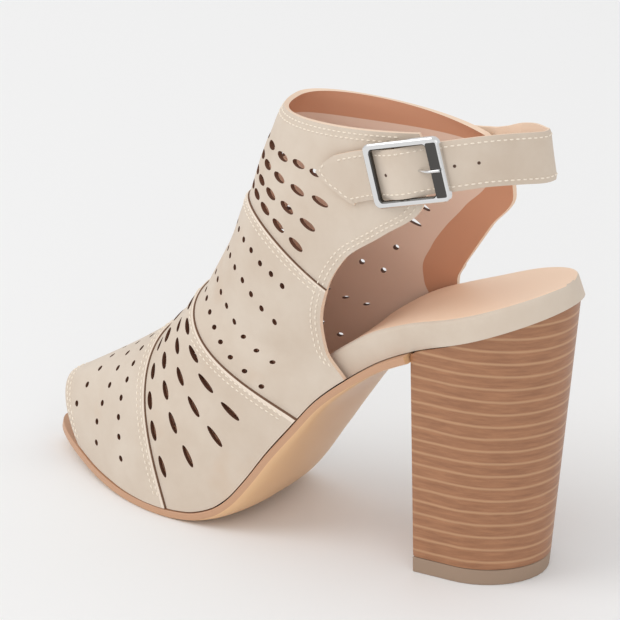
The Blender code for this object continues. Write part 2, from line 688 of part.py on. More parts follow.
def strap_rows():
    """Rows of the strap from its free end to the medial quarter: centre, direction across, half widths."""
    origin, along, across, out = buckle_axes()
    half = 0.5 * STRAP_THICKNESS
    rows = []
    for k in range(22):
        a = mix(-38.0 * MM, 15.0 * MM, k / 21.0)
        lift = smooth_step((-0.5 * BUCKLE_LENGTH - a) / (4.0 * MM))
        droop = STRAP_DROOP * smooth_step((-0.5 * BUCKLE_LENGTH - a) / (24.0 * MM))
        flat = origin + along * a - across * droop
        rise = strap_rise(a) + half
        if a < -0.5 * BUCKLE_LENGTH:
            wing = max((ankle_point(sole_share((flat + across * w).y), (flat + across * w).z / COLLAR_HEIGHT, 1)[0]
                        - flat).dot(out) for w in (-0.4 * STRAP_WIDTH, 0.0, 0.4 * STRAP_WIDTH))
            rise = mix(rise, wing + GAP + 0.1 * MM + half, lift)
        rows.append((flat + out * rise, across))
    for row in STRAP_BACK:
        point = Vector((BALL_WIDTH * row["x"], sole_y(row["s"]), COLLAR_HEIGHT * row["height"]))
        rows.append((point, Vector((0.0, -0.16, 0.987))))
    for row in STRAP_MEDIAL:
        height = row["height"]
        reach = 0.45 * STRAP_WIDTH / COLLAR_HEIGHT
        low = ankle_point(row["s"], height - reach, -1)[0]
        high = ankle_point(row["s"], height + reach, -1)[0]
        middle, normal = ankle_point(row["s"], height, -1)
        point = Vector((middle.x, sole_y(row["s"]), COLLAR_HEIGHT * height))
        rows.append((point + normal * (GAP + 0.2 * MM + half), high - low))
    return rows


def spline(rows, step):
    """Points along a Catmull-Rom curve through the rows, each with its direction across."""
    out = []
    for i in range(len(rows) - 1):
        p0, p1 = rows[max(0, i - 1)][0], rows[i][0]
        p2, p3 = rows[i + 1][0], rows[min(len(rows) - 1, i + 2)][0]
        count = max(1, int(math.ceil((p2 - p1).length / step)))
        for k in range(count):
            t = k / count
            point = 0.5 * (2.0 * p1 + (p2 - p0) * t + (2.0 * p0 - 5.0 * p1 + 4.0 * p2 - p3) * t * t
                           + (3.0 * p1 - p0 - 3.0 * p2 + p3) * t ** 3)
            out.append((point, rows[i][1].normalized().lerp(rows[i + 1][1].normalized(), t)))
    out.append(rows[-1])
    return out


def strap_band():
    """Stations of the strap: centre, tangent, across and outward, all unit vectors."""
    path = spline(strap_rows(), STRAP_STEP)
    band = []
    for i, (point, across) in enumerate(path):
        tangent = (path[min(i + 1, len(path) - 1)][0] - path[max(i - 1, 0)][0]).normalized()
        across = (across - tangent * across.dot(tangent)).normalized()
        band.append((point, tangent, across, tangent.cross(across)))
    return band


def make_strap(mat):
    bm = bmesh.new()
    half_width, half = 0.5 * STRAP_WIDTH, 0.5 * STRAP_THICKNESS
    rows = []
    for i, (point, tangent, across, out) in enumerate(strap_band()):
        inner, outer = [], []
        for w in (-1.0, -0.5, 0.0, 0.5, 1.0):
            slant = STRAP_TIP * abs(w - 0.5) ** 1.3 * max(0.0, 1.0 - i / STRAP_TIP_ROWS)
            if w > 0.5:
                slant *= 2.6
            spot = point + across * half_width * w + tangent * slant
            inner.append(spot - out * half)
            outer.append(spot + out * half)
        rows.append((inner, outer))
    slab(bm, rows)
    return finish("ankle_strap", bm, mat)


def local_box(name, size, at):
    """A guide box in the buckle's axes, given as along, across and outward."""
    origin, along, across, out = buckle_axes()
    bm = bmesh.new()
    corners = {}
    for i in (-1, 1):
        for j in (-1, 1):
            for k in (-1, 1):
                spot = (origin + along * (at[0] + 0.5 * i * size[0]) + across * (at[1] + 0.5 * j * size[1])
                        + out * (at[2] + 0.5 * k * size[2]))
                corners[(i, j, k)] = bm.verts.new(spot)
    for axis in range(3):
        for sign in (-1, 1):
            keys = [(-1, -1), (1, -1), (1, 1), (-1, 1)]
            loop = []
            for p, q in keys:
                key = [p, q]
                key.insert(axis, sign)
                loop.append(corners[tuple(key)])
            bm.faces.new(loop)
    return guide(name, bm)


def guide(name, bm):
    bmesh.ops.recalc_face_normals(bm, faces=bm.faces)
    mesh = bpy.data.meshes.new(name)
    bm.to_mesh(mesh)
    bm.free()
    obj = bpy.data.objects.new(name, mesh)
    bpy.context.scene.collection.objects.link(obj)
    obj.hide_render = True
    obj.display_type = "WIRE"
    return obj


def combine(obj, tool, operation):
    modifier = obj.modifiers.new(tool.name, "BOOLEAN")
    modifier.operation = operation
    modifier.solver = "EXACT"
    modifier.object = tool


def tube(bm, path, radius, sides, across):
    """A round bar along a path, its section turned with the path; both ends are closed."""
    rings = []
    for i, point in enumerate(path):
        tangent = (path[min(i + 1, len(path) - 1)] - path[max(i - 1, 0)]).normalized()
        side = (across - tangent * across.dot(tangent)).normalized()
        up = tangent.cross(side)
        rings.append([bm.verts.new(point + (side * math.cos(2 * math.pi * k / sides)
                                            + up * math.sin(2 * math.pi * k / sides)) * radius)
                      for k in range(sides)])
    for low, high in zip(rings[:-1], rings[1:]):
        for k in range(sides):
            bm.faces.new((low[k], low[(k + 1) % sides], high[(k + 1) % sides], high[k]))
    bm.faces.new(rings[0])
    bm.faces.new(rings[-1])


def rounded_rectangle(left, right, half, corner, steps=3):
    points = []
    for cx, cy, start in ((right - corner, half - corner, 0.0), (left + corner, half - corner, 90.0),
                          (left + corner, corner - half, 180.0), (right - corner, corner - half, 270.0)):
        for k in range(steps + 1):
            angle = math.radians(start + 90.0 * k / steps)
            points.append((cx + corner * math.cos(angle), cy + corner * math.sin(angle)))
    return points


def frame_level():
    """Underside of the buckle frame above the quarter."""
    return STRAP_THICKNESS + 3.3 * GAP


def bar_level():
    return GAP * 2.0 + TAB_THICKNESS + 0.5 * CENTRE_BAR


def make_buckle_frame(mat):
    origin, along, across, out = buckle_axes()
    low, high = frame_level(), frame_level() + BUCKLE_THICKNESS
    half = 0.5 * STRAP_WIDTH + GAP + BUCKLE_ARM
    end = 0.5 * BUCKLE_LENGTH
    chamfer = 0.22 * BUCKLE_THICKNESS
    loops = []
    for inset, level in ((0.0, low), (0.0, high - chamfer), (chamfer, high)):
        outline = rounded_rectangle(-end + inset, end - inset, half - inset, BUCKLE_CORNER - inset)
        loops.append((outline, level))
    for inset, level in ((chamfer, high), (0.0, high - chamfer), (0.0, low)):
        outline = rounded_rectangle(-end + BUCKLE_FRONT_BAR - inset, end - BUCKLE_REAR_BAR + inset,
                                    half - BUCKLE_ARM + inset, 1.0 * MM + inset)
        loops.append((outline, level))
    bm = bmesh.new()
    rings = [[bm.verts.new(origin + along * a + across * w + out * level) for a, w in outline]
             for outline, level in loops]
    count = len(rings[0])
    for ring, following in zip(rings, rings[1:] + rings[:1]):
        for k in range(count):
            bm.faces.new((ring[k], ring[(k + 1) % count], following[(k + 1) % count], following[k]))
    frame = finish("buckle_frame", bm, mat, 30.0)
    centre = half - 0.5 * BUCKLE_ARM
    lug = CENTRE_BAR + 2.0 * GAP
    height = frame_level() + 0.5 * BUCKLE_THICKNESS - bar_level() + 0.5 * lug
    for side in (-1, 1):
        at = (CENTRE_BAR_AT, side * centre, bar_level() - 0.5 * lug + 0.5 * height)
        combine(frame, local_box("lug_guide_" + ("low" if side < 0 else "high"),
                                 (2.0 * lug, BUCKLE_ARM - 0.4 * MM, height), at), "UNION")
    bar = bmesh.new()
    spot = origin + along * CENTRE_BAR_AT + out * bar_level()
    tube(bar, [spot - across * centre, spot + across * centre], 0.5 * CENTRE_BAR, 12, along)
    combine(frame, guide("bar_guide", bar), "UNION")
    return frame


def make_prong(mat):
    origin, along, across, out = buckle_axes()
    ring_radius = 0.5 * CENTRE_BAR + GAP + 0.25 * MM
    top = frame_level() + BUCKLE_THICKNESS + GAP + 0.5 * PRONG_WIDTH
    rear = 0.5 * BUCKLE_LENGTH - BUCKLE_REAR_BAR
    bar = CENTRE_BAR_AT
    spot = origin + along * bar + out * bar_level()
    ring = bmesh.new()
    loops = []
    for radius in (ring_radius - 0.25 * MM, ring_radius + 0.25 * MM):
        for w in (-0.5 * PRONG_WIDTH, 0.5 * PRONG_WIDTH):
            loops.append([ring.verts.new(spot + across * w + along * radius * math.cos(2 * math.pi * k / 16)
                                         + out * radius * math.sin(2 * math.pi * k / 16)) for k in range(16)])
    for a, b in ((0, 1), (1, 3), (3, 2), (2, 0)):
        for k in range(16):
            ring.faces.new((loops[a][k], loops[a][(k + 1) % 16], loops[b][(k + 1) % 16], loops[b][k]))
    prong = finish("buckle_prong", ring, mat, 30.0)
    arm = bmesh.new()
    radius = 0.5 * PRONG_WIDTH
    path = [(bar + ring_radius + 0.05 * MM, bar_level()), (bar + ring_radius + 2.0 * MM, bar_level() - 0.4 * MM),
            (2.0 * MM, 1.1 * MM), (3.4 * MM, 1.9 * MM), (rear - 1.2 * MM, top - 0.5 * MM),
            (rear + 0.4 * MM, top), (rear + 0.75 * BUCKLE_REAR_BAR, top)]
    tube(arm, [origin + along * a + out * n for a, n in path], radius, 10, across)
    combine(prong, guide("arm_guide", arm), "UNION")
    return prong


def make_tab(mat):
    origin, along, across, out = buckle_axes()
    half = 0.5 * TAB_THICKNESS
    level = bar_level()
    radius = 0.5 * CENTRE_BAR + GAP + half
    bar = CENTRE_BAR_AT
    path = [(bar - 6.5 * MM, GAP + half), (bar - 2.0 * MM, GAP + half)]
    path += [(bar + radius * math.cos(math.radians(t)), level + radius * math.sin(math.radians(t)))
             for t in range(-90, 91, 30)]
    path += [(bar - 1.7 * MM, level + radius - 0.3 * MM), (bar - 3.1 * MM, GAP + half + 1.15 * MM),
             (bar - 4.6 * MM, GAP + half + 0.78 * MM)]
    bm = bmesh.new()
    rows = []
    for i, (a, n) in enumerate(path):
        a0, n0 = path[max(0, i - 1)]
        a1, n1 = path[min(len(path) - 1, i + 1)]
        length = math.hypot(a1 - a0, n1 - n0)
        na, nn = -(n1 - n0) / length, (a1 - a0) / length
        inner, outer = [], []
        for w in (-0.5 * TAB_WIDTH, 0.5 * TAB_WIDTH):
            inner.append(origin + along * (a - na * half) + across * w + out * (n - nn * half))
            outer.append(origin + along * (a + na * half) + across * w + out * (n + nn * half))
        rows.append((inner, outer))
    slab(bm, rows)
    tab = finish("buckle_tab", bm, mat)
    notch = PRONG_WIDTH + 3.0 * GAP
    combine(tab, local_box("notch_guide", (5.0 * MM, notch, 8.0 * MM), (bar + 0.4 * MM, 0.0, 2.0 * MM)),
            "DIFFERENCE")
    return tab


def clear_scene():
    for obj in list(bpy.data.objects):
        bpy.data.objects.remove(obj, do_unlink=True)


def build():
    clear_scene()
    nubuck = material("nubuck", (0.68, 0.59, 0.50), 0.85)
    tan = material("outsole_tan", (0.74, 0.50, 0.28), 0.45)
    stack = material("stacked_heel", (0.40, 0.19, 0.09), 0.6)
    lift = material("top_piece", (0.35, 0.24, 0.17), 0.6)
    sock = material("sock", (0.83, 0.60, 0.42), 0.55)
    make_outsole(tan)
    make_insole(sock)
    make_heel(stack, lift)
    make_upper(nubuck)
    strap = make_strap(material("strap_nubuck", (0.68, 0.59, 0.50), 0.85))
    hole = local_box("hole_guide", (4.4 * MM, PRONG_WIDTH + 2.5 * GAP, 8.0 * MM), (3.9 * MM, 0.0, 2.0 * MM))
    combine(strap, hole, "DIFFERENCE")
    steel = material("polished_steel", (0.75, 0.75, 0.76), 0.18, 1.0)
    make_buckle_frame(steel)
    make_prong(material("prong_steel", (0.72, 0.72, 0.73), 0.2, 1.0))
    make_tab(material("tab_nubuck", (0.66, 0.57, 0.48), 0.85))


build()
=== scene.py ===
"""Looks of the open-toe sandal for the left foot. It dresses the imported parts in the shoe's own frame."""
import math

import bpy
import bmesh
import numpy as np
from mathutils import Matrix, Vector
from mathutils.geometry import delaunay_2d_cdt


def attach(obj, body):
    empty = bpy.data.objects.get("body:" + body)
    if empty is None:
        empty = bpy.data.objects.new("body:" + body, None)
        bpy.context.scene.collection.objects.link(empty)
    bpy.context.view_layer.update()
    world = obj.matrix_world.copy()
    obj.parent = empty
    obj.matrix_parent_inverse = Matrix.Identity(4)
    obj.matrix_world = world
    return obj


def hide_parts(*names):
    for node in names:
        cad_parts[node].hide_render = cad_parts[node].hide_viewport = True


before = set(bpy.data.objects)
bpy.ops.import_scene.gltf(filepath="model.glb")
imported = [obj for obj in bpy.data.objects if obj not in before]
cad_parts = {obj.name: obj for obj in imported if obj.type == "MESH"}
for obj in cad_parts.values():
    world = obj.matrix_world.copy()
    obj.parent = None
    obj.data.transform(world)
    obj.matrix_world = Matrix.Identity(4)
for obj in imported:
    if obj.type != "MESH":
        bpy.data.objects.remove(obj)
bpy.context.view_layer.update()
MM = 0.001

# Driving sizes of the sole
SHOE_LENGTH = 224.0 * MM
SEAT_BACK = 36.0 * MM
BALL_WIDTH = 67.0 * MM
HEEL_RISE = 92.5 * MM
GAP = 0.3 * MM
OUTSOLE_THICKNESS = 3.0 * MM
OUTSOLE_LIP = 0.6 * MM
SHANK_BELLY = 6.0 * MM
SHANK_TWIST = 2.5 * MM
PLATFORM_THICKNESS = 11.0 * MM
HEEL_ROUND = 0.161
TOE_ROUND = 0.28

# Driving sizes of the heel
HEEL_TOP_WIDTH = 53.0 * MM
HEEL_TOP_BACK = 35.0 * MM
HEEL_BASE_WIDTH = 46.0 * MM
HEEL_BASE_BACK = 24.4 * MM
HEEL_FRONT = 16.5 * MM
HEEL_ROUNDNESS = 1.95
TOP_PIECE_HEIGHT = 6.0 * MM

# Driving sizes of the upper
COLLAR_HEIGHT = 170.0 * MM
UPPER_WALL = 1.8 * MM
UPPER_SEAT = 0.2 * MM
SEAM_STEP = 0.8 * MM
UPPER_LEAN = 1.9 * MM
FEATHER_END = 0.52
VAMP_SLOT = 8.5 * MM
VAMP_SLOT_WIDTH = 2.4 * MM
TOP_SLOT = 7.0 * MM
TOP_SLOT_WIDTH = 3.0 * MM

# Driving sizes of the strap and its buckle
STRAP_WIDTH = 18.2 * MM
STRAP_THICKNESS = 1.6 * MM
STRAP_TIP = 7.5 * MM
STRAP_TIP_ROWS = 5
STRAP_DROOP = 2.0 * MM
BUCKLE_LENGTH = 30.0 * MM
BUCKLE_REAR_BAR = 5.5 * MM
BUCKLE_THICKNESS = 2.2 * MM
BUCKLE_AT = (0.232, 0.917)
BUCKLE_PITCH = 15.0
BUCKLE_YAW = -4.5
CENTRE_BAR = 1.2 * MM
CENTRE_BAR_AT = -4.5 * MM
TAB_THICKNESS = 0.5 * MM

# Sole outline: centre line and half width as shares of the ball width
OUTLINE = [
    dict(s=0.000, centre=0.000, half=0.440),
    dict(s=0.161, centre=0.000, half=0.430),
    dict(s=0.280, centre=0.000, half=0.418),
    dict(s=0.380, centre=-0.004, half=0.407),
    dict(s=0.450, centre=-0.006, half=0.405),
    dict(s=0.510, centre=-0.012, half=0.422),
    dict(s=0.570, centre=-0.032, half=0.458),
    dict(s=0.640, centre=-0.064, half=0.493),
    dict(s=0.700, centre=-0.088, half=0.501),
    dict(s=0.780, centre=-0.128, half=0.475),
    dict(s=0.850, centre=-0.160, half=0.430),
    dict(s=0.920, centre=-0.192, half=0.372),
    dict(s=1.000, centre=-0.215, half=0.300),
]

# Sole line from the side: its height as a share of the heel rise, the insole's share of the platform
# thickness above it, the share of the shank's belly below it and of its twist to the medial side
PROFILE = [
    dict(s=0.000, height=1.152, insole=0.80, belly=0.00, twist=0.00),
    dict(s=0.161, height=1.000, insole=0.88, belly=0.00, twist=0.00),
    dict(s=0.232, height=0.932, insole=0.94, belly=0.00, twist=0.00),
    dict(s=0.290, height=0.862, insole=1.00, belly=0.00, twist=0.00),
    dict(s=0.348, height=0.764, insole=1.00, belly=0.20, twist=0.00),
    dict(s=0.406, height=0.642, insole=0.85, belly=0.45, twist=0.30),
    dict(s=0.451, height=0.510, insole=0.60, belly=0.70, twist=0.70),
    dict(s=0.495, height=0.376, insole=0.42, belly=0.95, twist=1.00),
    dict(s=0.536, height=0.236, insole=0.34, belly=1.00, twist=1.00),
    dict(s=0.567, height=0.144, insole=0.30, belly=0.90, twist=1.00),
    dict(s=0.600, height=0.082, insole=0.28, belly=0.45, twist=0.60),
    dict(s=0.650, height=0.0405, insole=0.28, belly=0.00, twist=0.15),
    dict(s=0.690, height=0.0325, insole=0.28, belly=0.00, twist=0.00),
    dict(s=0.760, height=0.0325, insole=0.28, belly=0.00, twist=0.00),
    dict(s=0.850, height=0.046, insole=0.28, belly=0.00, twist=0.00),
    dict(s=0.930, height=0.074, insole=0.28, belly=0.00, twist=0.00),
    dict(s=1.000, height=0.110, insole=0.28, belly=0.00, twist=0.00),
]

# Ridge of the upper: x as a share of the ball width, s as a share of the length, height as a share
# of the collar height; round is the roundness of the section, bow its forward bend over the length
RIDGE = [
    dict(u=0.00, x=-0.195, s=0.980, height=0.179, round=2.2, bow=0.000),
    dict(u=0.10, x=-0.150, s=0.848, height=0.287, round=2.3, bow=0.010),
    dict(u=0.22, x=-0.105, s=0.744, height=0.384, round=2.3, bow=0.020),
    dict(u=0.33, x=-0.088, s=0.714, height=0.434, round=2.3, bow=0.028),
    dict(u=0.45, x=-0.075, s=0.686, height=0.488, round=2.3, bow=0.032),
    dict(u=0.52, x=-0.070, s=0.662, height=0.542, round=2.3, bow=0.028),
    dict(u=0.60, x=-0.065, s=0.628, height=0.622, round=2.3, bow=0.010),
    dict(u=0.70, x=-0.065, s=0.594, height=0.727, round=2.2, bow=-0.018),
    dict(u=0.80, x=-0.070, s=0.569, height=0.830, round=2.2, bow=-0.012),
    dict(u=0.90, x=-0.080, s=0.548, height=0.905, round=2.3, bow=-0.006),
    dict(u=1.00, x=-0.090, s=0.528, height=0.953, round=2.3, bow=0.000),
]

# Edges of the upper where it stands on the sole, as shares of the length
FEATHER = [
    dict(u=0.00, lateral=0.930, medial=0.935),
    dict(u=0.10, lateral=0.840, medial=0.830),
    dict(u=0.22, lateral=0.688, medial=0.690),
    dict(u=0.33, lateral=0.560, medial=0.565),
    dict(u=0.45, lateral=0.440, medial=0.430),
    dict(u=0.52, lateral=0.350, medial=0.262),
]

# Back edges of the two quarters: s, height and x as in the ridge table, and the side swell
BACK_LATERAL = [
    dict(u=0.52, s=0.350, height=0.425, x=0.408, swell=0.00),
    dict(u=0.57, s=0.384, height=0.478, x=0.412, swell=0.00),
    dict(u=0.62, s=0.393, height=0.540, x=0.414, swell=0.00),
    dict(u=0.70, s=0.383, height=0.612, x=0.412, swell=0.01),
    dict(u=0.77, s=0.350, height=0.690, x=0.408, swell=0.02),
    dict(u=0.84, s=0.281, height=0.760, x=0.404, swell=0.03),
    dict(u=0.90, s=0.214, height=0.835, x=0.398, swell=0.04),
    dict(u=0.95, s=0.200, height=0.930, x=0.392, swell=0.05),
    dict(u=1.00, s=0.222, height=0.995, x=0.388, swell=0.05),
]
BACK_MEDIAL = [
    dict(u=0.52, s=0.262, height=0.480, x=-0.418, swell=0.00),
    dict(u=0.57, s=0.275, height=0.525, x=-0.405, swell=0.00),
    dict(u=0.62, s=0.274, height=0.555, x=-0.396, swell=0.00),
    dict(u=0.70, s=0.262, height=0.590, x=-0.385, swell=0.02),
    dict(u=0.77, s=0.238, height=0.640, x=-0.370, swell=0.05),
    dict(u=0.84, s=0.205, height=0.705, x=-0.350, swell=0.07),
    dict(u=0.90, s=0.162, height=0.785, x=-0.325, swell=0.09),
    dict(u=0.95, s=0.170, height=0.868, x=-0.310, swell=0.10),
    dict(u=1.00, s=0.210, height=0.915, x=-0.300, swell=0.11),
]

# Slots of the vamp and the top panel, from the ridge down the side: u, v and length as a share of a slot
VAMP_SLOTS = [
    (0.425, 0.500, 0.70), (0.425, 0.413, 0.75), (0.425, 0.326, 0.85), (0.417, 0.240, 0.95),
    (0.404, 0.163, 1.12), (0.404, 0.086, 1.16), (0.367, 0.500, 0.70), (0.367, 0.435, 0.70),
    (0.367, 0.366, 0.75), (0.367, 0.296, 0.80), (0.354, 0.219, 0.90), (0.354, 0.146, 1.05),
    (0.358, 0.077, 1.12), (0.308, 0.500, 0.70), (0.308, 0.430, 0.70), (0.308, 0.357, 0.72),
    (0.308, 0.283, 0.78), (0.300, 0.214, 0.88), (0.296, 0.146, 1.00), (0.300, 0.081, 1.06),
    (0.255, 0.500, 0.66), (0.255, 0.425, 0.66), (0.255, 0.348, 0.70), (0.250, 0.270, 0.75),
    (0.238, 0.201, 0.82), (0.237, 0.137, 0.92), (0.238, 0.069, 1.00),
]
TOP_SLOTS = [
    (0.854, 0.500, 0.90), (0.854, 0.420, 0.92), (0.854, 0.339, 0.95), (0.858, 0.270, 1.00),
    (0.871, 0.217, 0.95), (0.877, 0.172, 0.80), (0.808, 0.500, 0.90), (0.808, 0.440, 0.92),
    (0.808, 0.375, 0.94), (0.808, 0.309, 0.96), (0.812, 0.240, 1.00), (0.821, 0.176, 1.05),
    (0.833, 0.120, 1.10), (0.767, 0.500, 0.90), (0.767, 0.440, 0.92), (0.767, 0.372, 0.94),
    (0.767, 0.304, 0.96), (0.767, 0.236, 1.00), (0.775, 0.167, 1.05), (0.779, 0.100, 1.08),
    (0.733, 0.500, 0.90), (0.733, 0.440, 0.92), (0.733, 0.372, 0.94), (0.733, 0.304, 0.96),
    (0.731, 0.236, 1.00), (0.731, 0.167, 1.02), (0.731, 0.100, 1.04),
]

# Strap round the back, from the buckle to the medial quarter: x, s and height as in the ridge table
STRAP_BACK = [
    dict(x=0.299, s=0.1161, height=0.950),
    dict(x=0.157, s=0.0790, height=0.947),
    dict(x=0.045, s=0.0585, height=0.941),
    dict(x=-0.030, s=0.0565, height=0.938),
    dict(x=-0.104, s=0.0710, height=0.929),
    dict(x=-0.224, s=0.1070, height=0.914),
    dict(x=-0.300, s=0.1400, height=0.898),
]
STRAP_MEDIAL = [
    dict(s=0.165, height=0.883),
    dict(s=0.190, height=0.874),
    dict(s=0.220, height=0.865),
    dict(s=0.255, height=0.855),
    dict(s=0.290, height=0.846),
    dict(s=0.320, height=0.838),
]

# Seams of the upper, where a panel's rear edge lies over the next panel
SEAMS = (0.22, 0.45, 0.70)


def curve(rows, key, at, along="s"):
    """A monotone cubic through one column of a table."""
    xs = [row[along] for row in rows]
    ys = [row[key] for row in rows]
    n = len(xs)
    steps = [xs[i + 1] - xs[i] for i in range(n - 1)]
    slopes = [(ys[i + 1] - ys[i]) / steps[i] for i in range(n - 1)]
    tangents = [slopes[0]] + [0.0] * (n - 2) + [slopes[-1]]
    for i in range(1, n - 1):
        a, b = slopes[i - 1], slopes[i]
        if a * b > 0.0:
            wa = 2.0 * steps[i] + steps[i - 1]
            wb = steps[i] + 2.0 * steps[i - 1]
            tangents[i] = (wa + wb) / (wa / a + wb / b)
    i = 0
    while i < n - 2 and at > xs[i + 1]:
        i += 1
    t = (at - xs[i]) / steps[i]
    if t < 0.0 or t > 1.0:
        end = 0 if t < 0.0 else n - 1
        return ys[end] + tangents[end] * (at - xs[end])
    h = steps[i]
    return (ys[i] * (1 + 2 * t) * (1 - t) ** 2 + tangents[i] * h * t * (1 - t) ** 2
            + ys[i + 1] * t * t * (3 - 2 * t) + tangents[i + 1] * h * t * t * (t - 1))


def mix(a, b, t):
    return a + (b - a) * t


def smooth_step(t):
    t = min(1.0, max(0.0, t))
    return t * t * (3.0 - 2.0 * t)


# Sole functions
def sole_y(s):
    return SEAT_BACK - s * SHOE_LENGTH


def sole_share(y):
    return (SEAT_BACK - y) / SHOE_LENGTH


def sole_line(s):
    return HEEL_RISE * curve(PROFILE, "height", s)


def sole_normal(s):
    """Unit normal of the sole line, pointing up, as (y, z)."""
    ds = 1e-4
    dz = sole_line(s + ds) - sole_line(s - ds)
    dy = sole_y(s + ds) - sole_y(s - ds)
    length = math.hypot(dy, dz)
    return dz / length, -dy / length


def sole_tilt(s, x):
    """Slope of the sole across its width: the shank drops towards the medial side."""
    return 2.0 * SHANK_TWIST / BALL_WIDTH * curve(PROFILE, "twist", s) if x < 0.0 else 0.0


def sole_point(s, x, rise):
    """A point at a rise above the sole line, measured square to it."""
    ny, nz = sole_normal(s)
    twist = sole_tilt(s, x) * abs(x)
    return Vector((x, sole_y(s) + ny * rise, sole_line(s) - twist + nz * rise))


def round_end(s):
    if s < HEEL_ROUND:
        t = 1.0 - s / HEEL_ROUND
    elif s > 1.0 - TOE_ROUND:
        t = (s - 1.0 + TOE_ROUND) / TOE_ROUND
    else:
        return 1.0
    return math.sqrt(max(0.0, 1.0 - min(1.0, t) ** 2))


def outline_x(s, side, inset=0.0):
    """Edge of the sole at a station, on the lateral (1) or medial (-1) side."""
    t = (s * SHOE_LENGTH - inset) / (SHOE_LENGTH - 2.0 * inset)
    centre = BALL_WIDTH * curve(OUTLINE, "centre", s)
    half = BALL_WIDTH * curve(OUTLINE, "half", min(1.0, max(0.0, t))) - inset
    return centre + side * half * round_end(t)


# Upper functions
def share_point(rows, u):
    """Point from the x, s and height shares of a table."""
    return Vector((BALL_WIDTH * curve(rows, "x", u, "u"),
                   sole_y(curve(rows, "s", u, "u")),
                   COLLAR_HEIGHT * curve(rows, "height", u, "u")))


def foot_point(u, side):
    """Lower edge of the upper: on the sole up to the feather's end, then the quarter's back edge."""
    if u <= FEATHER_END:
        s = curve(FEATHER, "lateral" if side > 0 else "medial", u, "u")
        return sole_point(s, outline_x(s, side), GAP + UPPER_SEAT)
    rows = BACK_LATERAL if side > 0 else BACK_MEDIAL
    start = foot_point(FEATHER_END, side)
    point = share_point(rows, u)
    first = Vector((BALL_WIDTH * rows[0]["x"], sole_y(rows[0]["s"]), COLLAR_HEIGHT * rows[0]["height"]))
    fade = max(0.0, 1.0 - (u - FEATHER_END) / (1.0 - FEATHER_END)) ** 4
    return point + (start - first) * fade


def side_swell(u, side):
    if u <= FEATHER_END:
        return 0.0
    return BALL_WIDTH * curve(BACK_LATERAL if side > 0 else BACK_MEDIAL, "swell", u, "u")


def upper_point(u, v):
    """Middle form of the upper's outside: v runs from the lateral edge over the ridge to the medial."""
    side = 1.0 if v < 0.5 else -1.0
    phi = math.pi * min(v, 1.0 - v)
    power = 2.0 / curve(RIDGE, "round", u, "u")
    out = max(0.0, math.cos(phi)) ** power
    rise = math.sin(phi) ** power
    ridge = share_point(RIDGE, u)
    foot = foot_point(u, side)
    swell = side_swell(u, side)
    reach = abs(foot.x - ridge.x) + swell
    x = ridge.x + side * (reach * out - swell * (1.0 - rise) ** 4)
    bow = SHOE_LENGTH * curve(RIDGE, "bow", u, "u") * math.sin(2.0 * phi)
    along = Vector((0.0, ridge.y - foot.y, ridge.z - foot.z)).normalized()
    return Vector((x, mix(foot.y, ridge.y, rise) - along.z * bow,
                   mix(foot.z, ridge.z, rise) + along.y * bow))


def upper_normal(u, v):
    """Outward normal of the upper; along the sole it stays in the sole's own surface."""
    d = 1e-3
    u0, u1 = max(0.0, u - d), min(1.0, u + d)
    if u0 < FEATHER_END < u1:
        u0, u1 = (u0, FEATHER_END) if u <= FEATHER_END else (FEATHER_END, u1)
    v0, v1 = max(0.0, v - d), min(1.0, v + d)
    du = upper_point(u1, v) - upper_point(u0, v)
    dv = upper_point(u, v1) - upper_point(u, v0)
    normal = du.cross(dv).normalized()
    if v in (0.0, 1.0) and u <= FEATHER_END:
        s = curve(FEATHER, "lateral" if v == 0.0 else "medial", u, "u")
        ny, nz = sole_normal(s)
        flat = Vector((0.0 if v == 0.0 else -nz * sole_tilt(s, -1.0), ny, nz)).normalized()
        normal = (normal - flat * normal.dot(flat)).normalized()
    return normal


# Insole, heel, slots and strap functions
def insole_inset(s):
    inside = UPPER_WALL + GAP + UPPER_LEAN
    return mix(0.0, inside, smooth_step((s - 0.10) / 0.14))


def insole_rise(s):
    return PLATFORM_THICKNESS * curve(PROFILE, "insole", s)


def heel_half_plan(width, back, t):
    """Half width and y of the D-shaped plan; t runs from the breast to the back."""
    straight = 0.3
    if t < straight:
        return 0.5 * width, mix(-HEEL_FRONT, 0.0, t / straight)
    phi = 0.5 * math.pi * (t - straight) / (1.0 - straight)
    power = 2.0 / HEEL_ROUNDNESS
    return 0.5 * width * max(0.0, math.cos(phi)) ** power, back * math.sin(phi) ** power


def slots():
    """Slots of both sides as (u, v, half extent in u, half extent in v)."""
    out = []
    kinds = ((VAMP_SLOTS, VAMP_SLOT, VAMP_SLOT_WIDTH), (TOP_SLOTS, TOP_SLOT, TOP_SLOT_WIDTH))
    for rows, long, wide in kinds:
        for u, v, share in rows:
            d = 0.005
            per_u = (upper_point(u + d, v) - upper_point(u - d, v)).length / (2.0 * d)
            per_v = (upper_point(u, v + d) - upper_point(u, v - d)).length / (2.0 * d)
            extent = (0.5 * wide / per_u, 0.5 * long * share / per_v)
            out.append((u, v) + extent)
            if v < 0.5:
                out.append((u, 1.0 - v) + extent)
    return out


def buckle_axes():
    """The buckle's own axes: along the strap, across it and outward, and its seat on the quarter."""
    pitch, yaw = math.radians(BUCKLE_PITCH), math.radians(BUCKLE_YAW)
    along = Vector((math.tan(yaw), math.cos(pitch), math.sin(pitch))).normalized()
    across = Vector((0.0, -math.sin(pitch), math.cos(pitch)))
    across = (across - along * across.dot(along)).normalized()
    out = along.cross(across)
    centre = ankle_point(BUCKLE_AT[0], BUCKLE_AT[1], 1)[0]
    far = max((ankle_point(BUCKLE_AT[0] + ds, BUCKLE_AT[1] + dh, 1)[0] - centre).dot(out)
              for ds in (0.00, 0.03, 0.06) for dh in (-0.05, 0.0, 0.05))
    return centre + out * max(0.0, far), along, across, out


